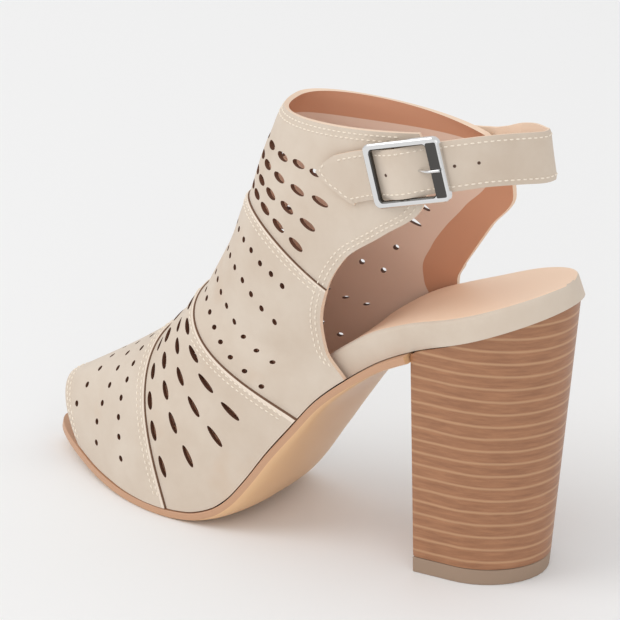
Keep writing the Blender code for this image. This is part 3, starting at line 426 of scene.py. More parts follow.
def ankle_point(s, height, side):
    """Outer surface of a quarter at a station and a height, with its outward normal."""
    y, z = sole_y(s), COLLAR_HEIGHT * height
    u, v, d = 0.90, 0.12, 1e-4

    def at(u, v):
        return upper_point(u, v if side > 0 else 1.0 - v)

    for _ in range(20):
        p, pu, pv = at(u, v), at(u + d, v), at(u, v + d)
        a, b = (pu.y - p.y) / d, (pv.y - p.y) / d
        c, e = (pu.z - p.z) / d, (pv.z - p.z) / d
        det = a * e - b * c
        ry, rz = y - p.y, z - p.z
        u = min(0.998, max(0.60, u + (e * ry - b * rz) / det))
        v = min(0.45, max(0.002, v + (a * rz - c * ry) / det))
    return at(u, v), upper_normal(u, v if side > 0 else 1.0 - v)


def strap_rise(a):
    """Underside of the strap above the quarter along the buckle: under the bars, over the centre bar."""
    top = TAB_THICKNESS * 2.0 + CENTRE_BAR + 4.0 * GAP
    front, rear = -0.5 * BUCKLE_LENGTH + 1.5 * MM, 0.5 * BUCKLE_LENGTH - BUCKLE_REAR_BAR - 0.5 * MM
    bar = CENTRE_BAR_AT
    if a <= bar:
        share = smooth_step((a - front) / (bar - 0.7 * MM - front))
    else:
        share = 1.0 - smooth_step((a - bar - 0.7 * MM) / (rear - bar - 0.7 * MM))
    return mix(GAP, top, share)


def strap_rows():
    """Rows of the strap from its free end to the medial quarter: centre and direction across."""
    origin, along, across, out = buckle_axes()
    half = 0.5 * STRAP_THICKNESS
    rows = []
    for k in range(22):
        a = mix(-38.0 * MM, 15.0 * MM, k / 21.0)
        lift = smooth_step((-0.5 * BUCKLE_LENGTH - a) / (4.0 * MM))
        droop = STRAP_DROOP * smooth_step((-0.5 * BUCKLE_LENGTH - a) / (24.0 * MM))
        flat = origin + along * a - across * droop
        rise = strap_rise(a) + half
        if a < -0.5 * BUCKLE_LENGTH:
            wing = -1.0
            for w in (-0.4 * STRAP_WIDTH, 0.0, 0.4 * STRAP_WIDTH):
                near = flat + across * w
                skin = ankle_point(sole_share(near.y), near.z / COLLAR_HEIGHT, 1)[0]
                wing = max(wing, (skin - flat).dot(out))
            rise = mix(rise, wing + GAP + 0.1 * MM + half, lift)
        rows.append((flat + out * rise, across))
    for row in STRAP_BACK:
        point = Vector((BALL_WIDTH * row["x"], sole_y(row["s"]), COLLAR_HEIGHT * row["height"]))
        rows.append((point, Vector((0.0, -0.16, 0.987))))
    for row in STRAP_MEDIAL:
        height = row["height"]
        reach = 0.45 * STRAP_WIDTH / COLLAR_HEIGHT
        low = ankle_point(row["s"], height - reach, -1)[0]
        high = ankle_point(row["s"], height + reach, -1)[0]
        middle, normal = ankle_point(row["s"], height, -1)
        point = Vector((middle.x, sole_y(row["s"]), COLLAR_HEIGHT * height))
        rows.append((point + normal * (GAP + 0.2 * MM + half), high - low))
    return rows


def spline(rows, step):
    """Points along a Catmull-Rom curve through the rows, each with its direction across."""
    out = []
    for i in range(len(rows) - 1):
        p0, p1 = rows[max(0, i - 1)][0], rows[i][0]
        p2, p3 = rows[i + 1][0], rows[min(len(rows) - 1, i + 2)][0]
        count = max(1, int(math.ceil((p2 - p1).length / step)))
        for k in range(count):
            t = k / count
            point = 0.5 * (2.0 * p1 + (p2 - p0) * t + (2.0 * p0 - 5.0 * p1 + 4.0 * p2 - p3) * t * t
                           + (3.0 * p1 - p0 - 3.0 * p2 + p3) * t ** 3)
            out.append((point, rows[i][1].normalized().lerp(rows[i + 1][1].normalized(), t)))
    out.append(rows[-1])
    return out


# Looks
def srgb(r, g, b):
    out = []
    for c in (r, g, b):
        c = c / 255.0
        out.append(c / 12.92 if c <= 0.04045 else ((c + 0.055) / 1.055) ** 2.4)
    return tuple(out) + (1.0,)


NUBUCK = srgb(217, 203, 187)
NUBUCK_DARK = srgb(206, 189, 171)
SMUDGE = srgb(204, 174, 146)
EDGE = srgb(240, 214, 190)
# Rolled panel edge: partly the folded edge's own lighter tone, partly painted highlight.
ROLL_TONE_AND_HIGHLIGHT = srgb(234, 219, 203)
# Walls of the punched holes: dark brown as painted shade inside the holes.
HOLE_WALL_SHADE = srgb(104, 66, 46)
# Seam groove colour: painted shadow behind each rolled edge.
SEAM_SHADOW_COLOUR = srgb(122, 92, 72)
# Lining and facing: their own colours lightened as painted light for light coming in through the holes.
LINING_WITH_PAINTED_LIGHT = srgb(230, 202, 184)
FACING_WITH_PAINTED_LIGHT = srgb(206, 150, 119)
SOCK = srgb(247, 215, 187)
TAN = srgb(226, 184, 140)
TAN_EDGE = srgb(198, 154, 122)
HEEL = srgb(171, 120, 84)
HEEL_DARK = srgb(148, 100, 68)
HEEL_LINE = srgb(198, 154, 116)
TOP_PIECE = srgb(160, 136, 116)
THREAD = srgb(243, 231, 214)
SILVER = srgb(224, 224, 224)
LAYER = 4.9 * MM


def new_material(name):
    mat = bpy.data.materials.new(name)
    mat.use_nodes = True
    return mat, mat.node_tree, mat.node_tree.nodes["Principled BSDF"]


def noise(tree, scale, detail=4.0, rough=0.55, stretch=None):
    coords = tree.nodes.new("ShaderNodeTexCoord")
    vector = coords.outputs["Object"]
    if stretch:
        mapping = tree.nodes.new("ShaderNodeMapping")
        mapping.inputs["Scale"].default_value = stretch
        tree.links.new(vector, mapping.inputs["Vector"])
        vector = mapping.outputs["Vector"]
    node = tree.nodes.new("ShaderNodeTexNoise")
    node.inputs["Scale"].default_value = scale
    node.inputs["Detail"].default_value = detail
    node.inputs["Roughness"].default_value = rough
    tree.links.new(vector, node.inputs["Vector"])
    return node.outputs["Fac"]


def ramp(tree, value, low, high):
    node = tree.nodes.new("ShaderNodeMapRange")
    node.inputs["From Min"].default_value = low
    node.inputs["From Max"].default_value = high
    tree.links.new(value, node.inputs["Value"])
    return node.outputs["Result"]


def blend_colour(tree, factor, a, b):
    node = tree.nodes.new("ShaderNodeMix")
    node.data_type = "RGBA"
    tree.links.new(factor, node.inputs["Factor"])
    for value, socket in ((a, node.inputs["A"]), (b, node.inputs["B"])):
        if isinstance(value, tuple):
            socket.default_value = value
        else:
            tree.links.new(value, socket)
    return node.outputs["Result"]


def add_bump(tree, shader, height, strength, distance):
    node = tree.nodes.new("ShaderNodeBump")
    node.inputs["Strength"].default_value = strength
    node.inputs["Distance"].default_value = distance
    tree.links.new(height, node.inputs["Height"])
    tree.links.new(node.outputs["Normal"], shader.inputs["Normal"])


def hide_material(name, base, dark, smudge, roughness=0.82):
    """Fine napped hide: faint mottling, a few tan smudges and a fine nap."""
    mat, tree, shader = new_material(name)
    cloud = ramp(tree, noise(tree, 40.0, 5.0, 0.6), 0.30, 0.70)
    rubbed = ramp(tree, noise(tree, 30.0, 3.0, 0.5), 0.62, 0.92)
    colour = blend_colour(tree, cloud, dark, base)
    colour = blend_colour(tree, rubbed, colour, smudge)
    tree.links.new(colour, shader.inputs["Base Color"])
    shader.inputs["Roughness"].default_value = roughness
    shader.inputs["Sheen Weight"].default_value = 0.12
    add_bump(tree, shader, noise(tree, 2600.0, 3.0, 0.6), 0.22, 0.12 * MM)
    return mat


def plain_material(name, colour, roughness, metallic=0.0, grain=0.0, grain_scale=1500.0):
    mat, tree, shader = new_material(name)
    shader.inputs["Base Color"].default_value = colour
    shader.inputs["Roughness"].default_value = roughness
    shader.inputs["Metallic"].default_value = metallic
    if grain:
        add_bump(tree, shader, noise(tree, grain_scale, 3.0, 0.6), grain, 0.1 * MM)
    return mat


def stacked_material(name):
    """Thin level layers with lighter glue lines between them and a streaky grain."""
    mat, tree, shader = new_material(name)
    coords = tree.nodes.new("ShaderNodeTexCoord")
    split = tree.nodes.new("ShaderNodeSeparateXYZ")
    tree.links.new(coords.outputs["Object"], split.inputs["Vector"])
    wobble = tree.nodes.new("ShaderNodeMath")
    wobble.operation = "MULTIPLY_ADD"
    wobble.inputs[1].default_value = 1.3 * MM
    tree.links.new(noise(tree, 45.0, 2.0, 0.5), wobble.inputs[0])
    tree.links.new(split.outputs["Z"], wobble.inputs[2])
    share = tree.nodes.new("ShaderNodeMath")
    share.operation = "DIVIDE"
    share.inputs[1].default_value = LAYER
    tree.links.new(wobble.outputs["Value"], share.inputs[0])
    part = tree.nodes.new("ShaderNodeMath")
    part.operation = "PINGPONG"
    part.inputs[1].default_value = 0.5
    tree.links.new(share.outputs["Value"], part.inputs[0])
    line = ramp(tree, part.outputs["Value"], 0.15, 0.03)
    streak = ramp(tree, noise(tree, 90.0, 5.0, 0.65, (1.0, 1.0, 9.0)), 0.34, 0.68)
    colour = blend_colour(tree, streak, HEEL_DARK, HEEL)
    soft = tree.nodes.new("ShaderNodeMath")
    soft.operation = "MULTIPLY"
    soft.inputs[1].default_value = 0.7
    tree.links.new(line, soft.inputs[0])
    colour = blend_colour(tree, soft.outputs["Value"], colour, HEEL_LINE)
    tree.links.new(colour, shader.inputs["Base Color"])
    shader.inputs["Roughness"].default_value = 0.48
    shader.inputs["Coat Weight"].default_value = 0.15
    add_bump(tree, shader, line, 0.35, 0.15 * MM)
    return mat


# Mesh helpers
def add_object(name, verts, faces, mats, picks=None, nodes=(), angle=35.0):
    """A piece on the shoe's body, from points and faces, with one material per face."""
    mesh = bpy.data.meshes.new(name)
    mesh.from_pydata([tuple(v) for v in verts], [], [tuple(f) for f in faces])
    for mat in mats:
        mesh.materials.append(mat)
    if picks is not None:
        mesh.polygons.foreach_set("material_index", picks)
    mesh.validate()
    mesh.shade_smooth()
    mesh.set_sharp_from_angle(angle=math.radians(angle))
    obj = bpy.data.objects.new(name, mesh)
    bpy.context.scene.collection.objects.link(obj)
    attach(obj, "root")
    if nodes:
        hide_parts(*nodes)
    return obj


def add_ring(ring, verts, rings):
    rings.append(list(range(len(verts), len(verts) + len(ring))))
    verts.extend(ring)


def join_rings(rings):
    """Quads between rings of equal counts, ring by ring."""
    faces = []
    count = len(rings[0])
    for a, b in zip(rings[:-1], rings[1:]):
        for k in range(count):
            n = (k + 1) % count
            faces.append((a[k], a[n], b[n], b[k]))
    return faces


def recalculated(obj):
    bm = bmesh.new()
    bm.from_mesh(obj.data)
    bmesh.ops.remove_doubles(bm, verts=bm.verts, dist=1e-7)
    bmesh.ops.recalc_face_normals(bm, faces=bm.faces)
    bm.to_mesh(obj.data)
    bm.free()
    return obj


# Upper
TOE_HOLE = 2.4 * MM
MID_HOLE = 2.3 * MM
TOE_HOLES = [
    (0.004, 0.103), (0.029, 0.201), (0.050, 0.283), (0.067, 0.355), (0.075, 0.430), (0.078, 0.500),
    (0.083, 0.069), (0.087, 0.133), (0.100, 0.193), (0.113, 0.253), (0.121, 0.315), (0.125, 0.381),
    (0.127, 0.441), (0.128, 0.500), (0.150, 0.062), (0.150, 0.111), (0.150, 0.159), (0.154, 0.210),
    (0.163, 0.261), (0.168, 0.311), (0.171, 0.366), (0.172, 0.424), (0.172, 0.475),
]
MID_HOLES = [
    (0.642, 0.094), (0.646, 0.133), (0.646, 0.176), (0.650, 0.223), (0.650, 0.273), (0.650, 0.330),
    (0.648, 0.387), (0.646, 0.443), (0.646, 0.500), (0.575, 0.103), (0.583, 0.141), (0.592, 0.180),
    (0.600, 0.222), (0.604, 0.272), (0.606, 0.326), (0.602, 0.378), (0.598, 0.430), (0.598, 0.475),
    (0.500, 0.099), (0.504, 0.141), (0.512, 0.186), (0.525, 0.226), (0.540, 0.262), (0.548, 0.303),
    (0.552, 0.350), (0.545, 0.400), (0.537, 0.450), (0.534, 0.500), (0.462, 0.077), (0.467, 0.124),
    (0.471, 0.170), (0.479, 0.217), (0.488, 0.262), (0.496, 0.311), (0.498, 0.364), (0.492, 0.410),
    (0.485, 0.455),
]
# Width of a panel's rolled edge, lighter partly as painted highlight, and of the groove behind it, darkened
# as painted shadow, as shares of u
SEAM_ROLL = 0.0036
SEAM_GROOVE = 0.0015
GROOVE_DEPTH = 0.35 * MM
FACING_WIDTH = 8.8 * MM
# Soft creases: where each crosses the ridge, how it leans, its half width, depth and reach down the side
CREASES = [
    dict(u=0.240, lean=-0.02, width=0.020, depth=0.55, reach=0.32),
    dict(u=0.290, lean=0.03, width=0.022, depth=-0.40, reach=0.28),
    dict(u=0.350, lean=0.05, width=0.024, depth=0.50, reach=0.30),
    dict(u=0.475, lean=0.04, width=0.022, depth=0.45, reach=0.30),
    dict(u=0.620, lean=0.03, width=0.030, depth=0.35, reach=0.24),
    dict(u=0.880, lean=-0.03, width=0.035, depth=0.40, reach=0.30),
]


def metric(u, v):
    """Millimetre lengths of one unit of u and of v on the upper."""
    d = 0.004
    u0, u1 = max(0.0, u - d), min(1.0, u + d)
    v0, v1 = max(0.0, v - d), min(1.0, v + d)
    return ((upper_point(u1, v) - upper_point(u0, v)).length / (u1 - u0),
            (upper_point(u, v1) - upper_point(u, v0)).length / (v1 - v0))


def panel_raise(u):
    """Height of each panel over the next one, with a rolled edge and a groove behind it."""
    for seam in SEAMS:
        if u <= seam:
            back = (seam - u) / SEAM_ROLL
            soft = 1.0 - 0.4 * max(0.0, 1.0 - back) ** 2
            return SEAM_STEP * smooth_step((u - seam + 0.11) / 0.09) * soft
        if u < seam + 2.0 * SEAM_GROOVE:
            return -GROOVE_DEPTH
    return 0.0


def crease(u, v):
    depth = 0.0
    for row in CREASES:
        side = min(v, 1.0 - v)
        middle = row["u"] + row["lean"] * (0.5 - side) * 2.0
        across = (u - middle) / row["width"]
        along = max(0.0, 1.0 - ((0.5 - side) / row["reach"]) ** 2)
        depth -= row["depth"] * MM * math.exp(-across * across) * along
    return depth


def skin_point(u, v, lift=0.0):
    """Point on the dressed upper's outer surface, or above it."""
    normal = upper_normal(u, v)
    fade = smooth_step(min(v, 1.0 - v) / 0.06) * smooth_step((1.0 - u) / 0.05)
    return upper_point(u, v) + normal * (panel_raise(u) + crease(u, v) * fade + lift)


def mirrored(pairs):
    return pairs + [(u, 1.0 - v) for u, v in pairs if v < 0.5]


def all_holes():
    """Every hole as (u, v, half extent in u, half extent in v, corner count)."""
    out = [hole + (18,) for hole in slots()]
    for rows, width in ((TOE_HOLES, TOE_HOLE), (MID_HOLES, MID_HOLE)):
        for u, v in mirrored(rows):
            per_u, per_v = metric(u, v)
            hole = (u, v, 0.5 * width / per_u, 0.5 * width / per_v, 14)
            if u - hole[2] > 0.004:
                out.append(hole)
    return out


def collar_facing(v):
    """Reach of the facing below the collar, as a share of u."""
    return FACING_WIDTH / metric(0.95, v)[0]


def side_facing(u):
    """Reach of the facing in from a quarter's back edge, as a share of v."""
    return FACING_WIDTH / metric(u, 0.04)[1]


def faced(u, v, collar, side):
    """Whether the inside is covered by the facing along the collar and the back edges."""
    if u > 0.84 and 1.0 - u < float(np.interp(v, collar[0], collar[1])):
        return True
    return u > 0.54 and min(v, 1.0 - v) < float(np.interp(u, side[0], side[1]))


def dressed_plan(rows, columns):
    seam_us = []
    for seam in SEAMS:
        seam_us += [seam - 0.010, seam - SEAM_ROLL, seam - 0.5 * SEAM_ROLL, seam - 0.2 * SEAM_ROLL, seam,
                    seam + 0.3 * SEAM_GROOVE, seam + SEAM_GROOVE, seam + 2.2 * SEAM_GROOVE]
    us = [k / rows for k in range(rows + 1)]
    us = [u for u in us if all(not seam - 0.013 < u < seam + 0.008 for seam in SEAMS)]
    us = sorted(set(round(u, 6) for u in us + seam_us))
    vs = [round(k / columns, 6) for k in range(columns + 1)]
    holes = all_holes()
    array = np.array([hole[:4] for hole in holes])
    points, index, edges = [], {}, []

    def add(u, v):
        key = (round(u, 6), round(v, 6))
        if key not in index:
            index[key] = len(points)
            points.append(key)
        return index[key]

    grid_u, grid_v = np.meshgrid(np.array(us), np.array(vs), indexing="ij")
    clear = np.ones(grid_u.shape, dtype=bool)
    for hu, hv, au, av in array:
        near = ((grid_u - hu) / (au + 0.0035)) ** 2 + ((grid_v - hv) / (av + 0.0045)) ** 2
        clear &= near > 1.0
    clear[0, :] = clear[-1, :] = True
    clear[:, 0] = clear[:, -1] = True
    for i, u in enumerate(us):
        for j, v in enumerate(vs):
            if clear[i, j]:
                add(u, v)
    for row in (0.0, 1.0):
        line = [add(row, v) for v in vs]
        edges.extend(zip(line[:-1], line[1:]))
        line = [add(u, row) for u in us]
        edges.extend(zip(line[:-1], line[1:]))
    for seam in SEAMS:
        line = [add(seam, v) for v in vs]
        edges.extend(zip(line[:-1], line[1:]))
    border = [(1.0 - collar_facing(v), v) for v in vs]
    lines = [[(u, v) for u, v in border if side_facing(u) <= v <= 1.0 - side_facing(u)]]
    for side in (0, 1):
        rows_up = [mix(0.54, 0.96, k / 60) for k in range(61)]
        rows_up = [u for u in rows_up if u <= 1.0 - collar_facing(side_facing(u))]
        lines.append([(u, side_facing(u) if side == 0 else 1.0 - side_facing(u)) for u in rows_up])
    for path in lines:
        line = [add(u, v) for u, v in path]
        edges.extend(zip(line[:-1], line[1:]))
    for hole in holes:
        count = hole[4]
        loop = []
        for k in range(count):
            turn = 2.0 * math.pi * k / count
            loop.append(add(hole[0] + hole[2] * math.sin(turn), hole[1] + hole[3] * math.cos(turn)))
        edges.extend(zip(loop, loop[1:] + loop[:1]))
    scale_u, scale_v = 0.15, 0.13
    flat = [Vector((u * scale_u, v * scale_v)) for u, v in points]
    verts, _, faces, _, _, _ = delaunay_2d_cdt(flat, edges, [], 0, 1e-8)
    plan = np.array([(p.x / scale_u, p.y / scale_v) for p in verts])
    tris = np.array([tuple(f) for f in faces])
    centre = plan[tris].mean(axis=1)
    keep = np.ones(len(tris), dtype=bool)
    for hu, hv, au, av in array:
        keep &= ((centre[:, 0] - hu) / au) ** 2 + ((centre[:, 1] - hv) / av) ** 2 > 0.94
    return plan, tris[keep]


def outer_pick(u):
    """Which material an outside face takes: hide, rolled edge (lighter, partly painted highlight) or groove
    (painted shadow).
    """
    for seam in SEAMS:
        if seam - SEAM_ROLL < u < seam:
            return 6
        if seam < u < seam + SEAM_GROOVE:
            return 5
    return 0


def dress_upper(outer, lining_with_painted_light, facing, edge, hole_wall_shade, groove, roll_tone_and_highlight):
    plan, tris = dressed_plan(150, 124)
    used = sorted(set(tris.ravel().tolist()))
    order = {i: n for n, i in enumerate(used)}
    outside, inside, rim = [], [], []
    spread = [k / 100 for k in range(101)]
    collar = (spread, [collar_facing(v) for v in spread])
    side = (spread, [side_facing(u) for u in spread])
    for i in used:
        u = round(min(1.0, max(0.0, float(plan[i][0]))), 6)
        v = round(min(1.0, max(0.0, float(plan[i][1]))), 6)
        normal = upper_normal(u, v)
        base = upper_point(u, v)
        fade = smooth_step(min(v, 1.0 - v) / 0.06) * smooth_step((1.0 - u) / 0.05)
        fold = crease(u, v) * fade
        outside.append(base + normal * (panel_raise(u) + fold))
        inside.append(base + normal * (fold - UPPER_WALL))
        rim.append(u in (0.0, 1.0) or v in (0.0, 1.0))
    count = len(used)
    verts = outside + inside
    faces, picks, borders = [], [], {}
    for tri in tris:
        a, b, c = (order[int(i)] for i in tri)
        faces.append((a, b, c))
        middle_u, middle_v = (float(c) for c in plan[tri].mean(axis=0))
        picks.append(outer_pick(middle_u))
        faces.append((a + count, c + count, b + count))
        picks.append(2 if faced(middle_u, middle_v, collar, side) else 1)
        for pair in ((a, b), (b, c), (c, a)):
            key = (min(pair), max(pair))
            borders[key] = (borders[key][0] + 1, pair) if key in borders else (1, pair)
    # Border faces: the rim takes the turned edge, the walls of the holes a dark brown that is painted shade.
    for times, (a, b) in borders.values():
        if times == 1:
            faces.append((b, a, a + count, b + count))
            picks.append(3 if rim[a] and rim[b] else 4)
    mats = (outer, lining_with_painted_light, facing, edge, hole_wall_shade, groove, roll_tone_and_highlight)
    return recalculated(add_object("upper_dressed", verts, faces, mats, picks, ("upper",), 50.0))


# Stitching
STITCH = 1.6 * MM
STITCH_GAP = 0.75 * MM
STITCH_RADIUS = 0.29 * MM


def stitch_along(points, normals, verts, faces):
    """Small rounded threads along a line of points."""
    lengths = [0.0]
    for a, b in zip(points[:-1], points[1:]):
        lengths.append(lengths[-1] + (b - a).length)

    def spot(at):
        i = 0
        while i < len(lengths) - 2 and lengths[i + 1] < at:
            i += 1
        t = (at - lengths[i]) / max(1e-9, lengths[i + 1] - lengths[i])
        return points[i].lerp(points[i + 1], t), normals[i].lerp(normals[i + 1], t).normalized()

    at = 0.6 * STITCH
    while at + STITCH < lengths[-1]:
        start, n0 = spot(at)
        end, n1 = spot(at + STITCH)
        along = (end - start).normalized()
        out = (n0 + n1).normalized()
        side = along.cross(out).normalized()
        base = len(verts)
        rings = ((0.0, 0.25, -0.5), (0.18, 0.9, 0.15), (0.5, 1.0, 0.45), (0.82, 0.9, 0.15), (1.0, 0.25, -0.5))
        for share, size, lift in rings:
            middle = start.lerp(end, share) + out * STITCH_RADIUS * lift
            for k in range(6):
                turn = math.pi * k / 3.0
                verts.append(middle + (side * math.cos(turn) + out * math.sin(turn)) * STITCH_RADIUS * size)
        for r in range(len(rings) - 1):
            for k in range(6):
                a, b = base + 6 * r + k, base + 6 * r + (k + 1) % 6
                faces.append((a, b, b + 6, a + 6))
        faces.append(tuple(base + k for k in range(5, -1, -1)))
        faces.append(tuple(base + 24 + k for k in range(6)))
        at += STITCH + STITCH_GAP


def uv_line(path, holes, verts, faces):
    """Stitches along a line of (u, v), left out where a hole is."""
    points, normals = [], []
    for u, v in path:
        u, v = min(0.999, max(0.001, u)), min(0.999, max(0.001, v))
        if np.any(((u - holes[:, 0]) / holes[:, 2]) ** 2 + ((v - holes[:, 1]) / holes[:, 3]) ** 2 < 1.6):
            if len(points) > 2:
                stitch_along(points, normals, verts, faces)
            points, normals = [], []
            continue
        points.append(skin_point(u, v))
        normals.append(upper_normal(u, v))
    if len(points) > 2:
        stitch_along(points, normals, verts, faces)


def dress_upper_stitches(thread):
    verts, faces = [], []
    holes = np.array([hole[:4] for hole in all_holes()])
    steps = [k / 160 for k in range(161)]
    for seam in SEAMS:
        for inset in (1.3 * MM, 3.3 * MM):
            path = [(seam - inset / metric(seam - 0.01, v)[0], v) for v in steps if 0.012 < v < 0.988]
            uv_line(path, holes, verts, faces)
    for inset in (1.7 * MM, 3.7 * MM):
        path = [(1.0 - inset / metric(0.985, v)[0], v) for v in steps if 0.02 < v < 0.98]
        uv_line(path, holes, verts, faces)
        path = [(inset / metric(0.01, v)[0], v) for v in steps if 0.03 < v < 0.97]
        uv_line(path, holes, verts, faces)
        for side in (0.0, 1.0):
            path = []
            for k in range(71):
                u = mix(0.535, 0.985, k / 70)
                reach = inset / metric(u, 0.02 if side == 0.0 else 0.98)[1]
                path.append((u, reach if side == 0.0 else 1.0 - reach))
            uv_line(path, holes, verts, faces)
    return add_object("upper_stitching", verts, faces, (thread,), None, (), 60.0)


# Strap
def strap_ring(point, tangent, across, out, half_width, shift):
    """Rounded section of the strap, shifted along it by a function of the place across."""
    half, soft = 0.5 * STRAP_THICKNESS, 0.55 * MM
    ring = []
    spots = []
    for k in range(13):
        w = -1.0 + k / 6.0
        spots.append((w, 1.0))
    for k in range(12, -1, -1):
        spots.append((-1.0 + k / 6.0, -1.0))
    for w, level in spots:
        edge = max(0.0, abs(w) - (1.0 - soft / half_width)) / (soft / half_width)
        height = half * level * (1.0 - 0.55 * edge)
        ring.append(point + across * half_width * w + out * height + tangent * shift(w))
    return ring


def dress_strap(outer, under, edge):
    band = []
    path = spline(strap_rows(), 1.0 * MM)
    for i, (point, across) in enumerate(path):
        tangent = (path[min(i + 1, len(path) - 1)][0] - path[max(i - 1, 0)][0]).normalized()
        across = (across - tangent * across.dot(tangent)).normalized()
        band.append((point, tangent, across, tangent.cross(across)))
    verts, rings = [], []
    travelled = 0.0
    for i, (point, tangent, across, out) in enumerate(band):
        if i:
            travelled += (point - band[i - 1][0]).length
        fade = max(0.0, 1.0 - travelled / (STRAP_TIP_ROWS * 2.4 * MM))

        def shift(w, fade=fade):
            slant = STRAP_TIP * abs(w - 0.5) ** 1.3 * fade
            return slant * 2.6 if w > 0.5 else slant

        ring = strap_ring(point, tangent, across, out, 0.5 * STRAP_WIDTH, shift)
        add_ring(ring, verts, rings)
    count = len(rings[0])
    faces = join_rings(rings)
    picks = [0 if k < 12 else 2 if k in (12, count - 1) else 1 for k in range(count)] * (len(rings) - 1)
    for ring, turn in ((rings[0], 1), (rings[-1], -1)):
        for k in range(12):
            loop = (ring[k], ring[k + 1], ring[count - 2 - k], ring[count - 1 - k])
            faces.append(loop[::turn])
            picks.append(2)
    strap = recalculated(add_object("ankle_strap_dressed", verts, faces, (outer, under, edge), picks,
                                    ("ankle_strap",), 50.0))
    return strap, band


def dress_strap_details(band, thread, dark):
    verts, faces = [], []
    lift = 0.5 * STRAP_THICKNESS
    for side in (-1.0, 1.0):
        inset = 1.9 * MM
        points, normals = [], []
        for point, tangent, across, out in band[12:-3]:
            points.append(point + across * side * (0.5 * STRAP_WIDTH - inset) + out * lift)
            normals.append(out)
        stitch_along(points, normals, verts, faces)
    point, tangent, across, out = band[0]
    inset = 1.9 * MM
    tip = []
    for k in range(13):
        w = -0.78 + 1.56 * k / 12.0
        slant = STRAP_TIP * abs(w - 0.5) ** 1.3 * (2.6 if w > 0.5 else 1.0)
        i = min(len(band) - 1, int(round((slant + inset * 1.25) / (1.0 * MM))))
        p, t, a, o = band[i]
        tip.append(p + a * w * 0.5 * STRAP_WIDTH + o * lift)
    stitch_along(tip, [out] * len(tip), verts, faces)
    stitches = add_object("strap_stitching", verts, faces, (thread,), None, (), 60.0)
    # Small dark disks on the strap's face where its holes are: painted shade of the holes, the strap itself
    # is not cut.
    verts, faces = [], []
    origin, along, across, out = buckle_axes()
    for at, size in ((-6.2, 0.62), (16.9, 0.6), (26.5, 0.6)):
        target = origin + along * at * MM
        place = min(band, key=lambda row: (row[0] - target).length)
        p, t, a, o = place
        base = len(verts)
        for k in range(16):
            turn = 2.0 * math.pi * k / 16
            verts.append(p + o * (lift + 0.04 * MM) + (t * math.cos(turn) + a * math.sin(turn)) * size * MM)
        faces.append(tuple(range(base, base + 16)))
    holes = add_object("strap_hole_shade_disks", verts, faces, (dark,), None)
    return stitches, holes


# Copies of plain solids with softened edges
def soften(node, name, mat, width, segments=2, angle=40.0, shade=None):
    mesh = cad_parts[node].data.copy()
    mesh.materials.clear()
    mesh.materials.append(mat)
    obj = bpy.data.objects.new(name, mesh)
    bpy.context.scene.collection.objects.link(obj)
    bm = bmesh.new()
    bm.from_mesh(mesh)
    bmesh.ops.remove_doubles(bm, verts=bm.verts, dist=1e-6)
    bmesh.ops.dissolve_limit(bm, angle_limit=math.radians(1.0), verts=bm.verts, edges=bm.edges)
    bm.to_mesh(mesh)
    bm.free()
    # The frame's inner walls round the window take the dark steel: painted dark reflection.
    if shade:
        origin, along, across, out = buckle_axes()
        mesh.materials.append(shade)
        for poly in mesh.polygons:
            spot = poly.center - origin
            spot -= out * spot.dot(out)
            if abs(poly.normal.dot(out)) < 0.9 and poly.normal.dot(spot) < 0.0 and spot.length < 16.0 * MM:
                poly.material_index = 1
    bevel = obj.modifiers.new("bevel", "BEVEL")
    bevel.width = width
    bevel.segments = segments
    bevel.limit_method = "ANGLE"
    bevel.angle_limit = math.radians(angle)
    mesh.shade_smooth()
    mesh.set_sharp_from_angle(angle=math.radians(angle))
    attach(obj, "root")
    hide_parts(node)
    return obj


def dress_rear_bar(mat):
    """Dark sheet a hair above the face of the buckle's wide rear bar: a painted dark reflection, no part of
    the real buckle.
    """
    origin, along, across, out = buckle_axes()
    level = STRAP_THICKNESS + 3.3 * GAP + BUCKLE_THICKNESS
    end, half = 0.5 * BUCKLE_LENGTH - 1.15 * MM, 0.5 * STRAP_WIDTH + 0.9 * MM
    start = 0.5 * BUCKLE_LENGTH - BUCKLE_REAR_BAR + 0.35 * MM
    verts, rings = [], []
    for inset, lift in ((0.0, -0.1), (0.0, 0.08), (0.4, 0.16)):
        ring = []
        for cx, cy, first in ((end, half, 0), (start, half, 90), (start, -half, 180), (end, -half, 270)):
            for k in range(4):
                angle = math.radians(first + 30.0 * k)
                inner_x = cx - math.copysign(0.6 * MM, cx - 0.5 * (start + end))
                inner_y = cy - math.copysign(0.6 * MM, cy)
                reach = (0.6 - inset) * MM
                ring.append(origin + along * (inner_x + reach * math.cos(angle))
                            + across * (inner_y + reach * math.sin(angle)) + out * (level + lift * MM))
        add_ring(ring, verts, rings)
    faces = join_rings(rings)
    faces.append(tuple(rings[-1]))
    faces.append(tuple(rings[0][::-1]))
    return recalculated(add_object("buckle_rear_bar_painted_reflection", verts, faces, (mat,), None))


# Sole, insole and heel
SOCK_DISH = 0.7 * MM


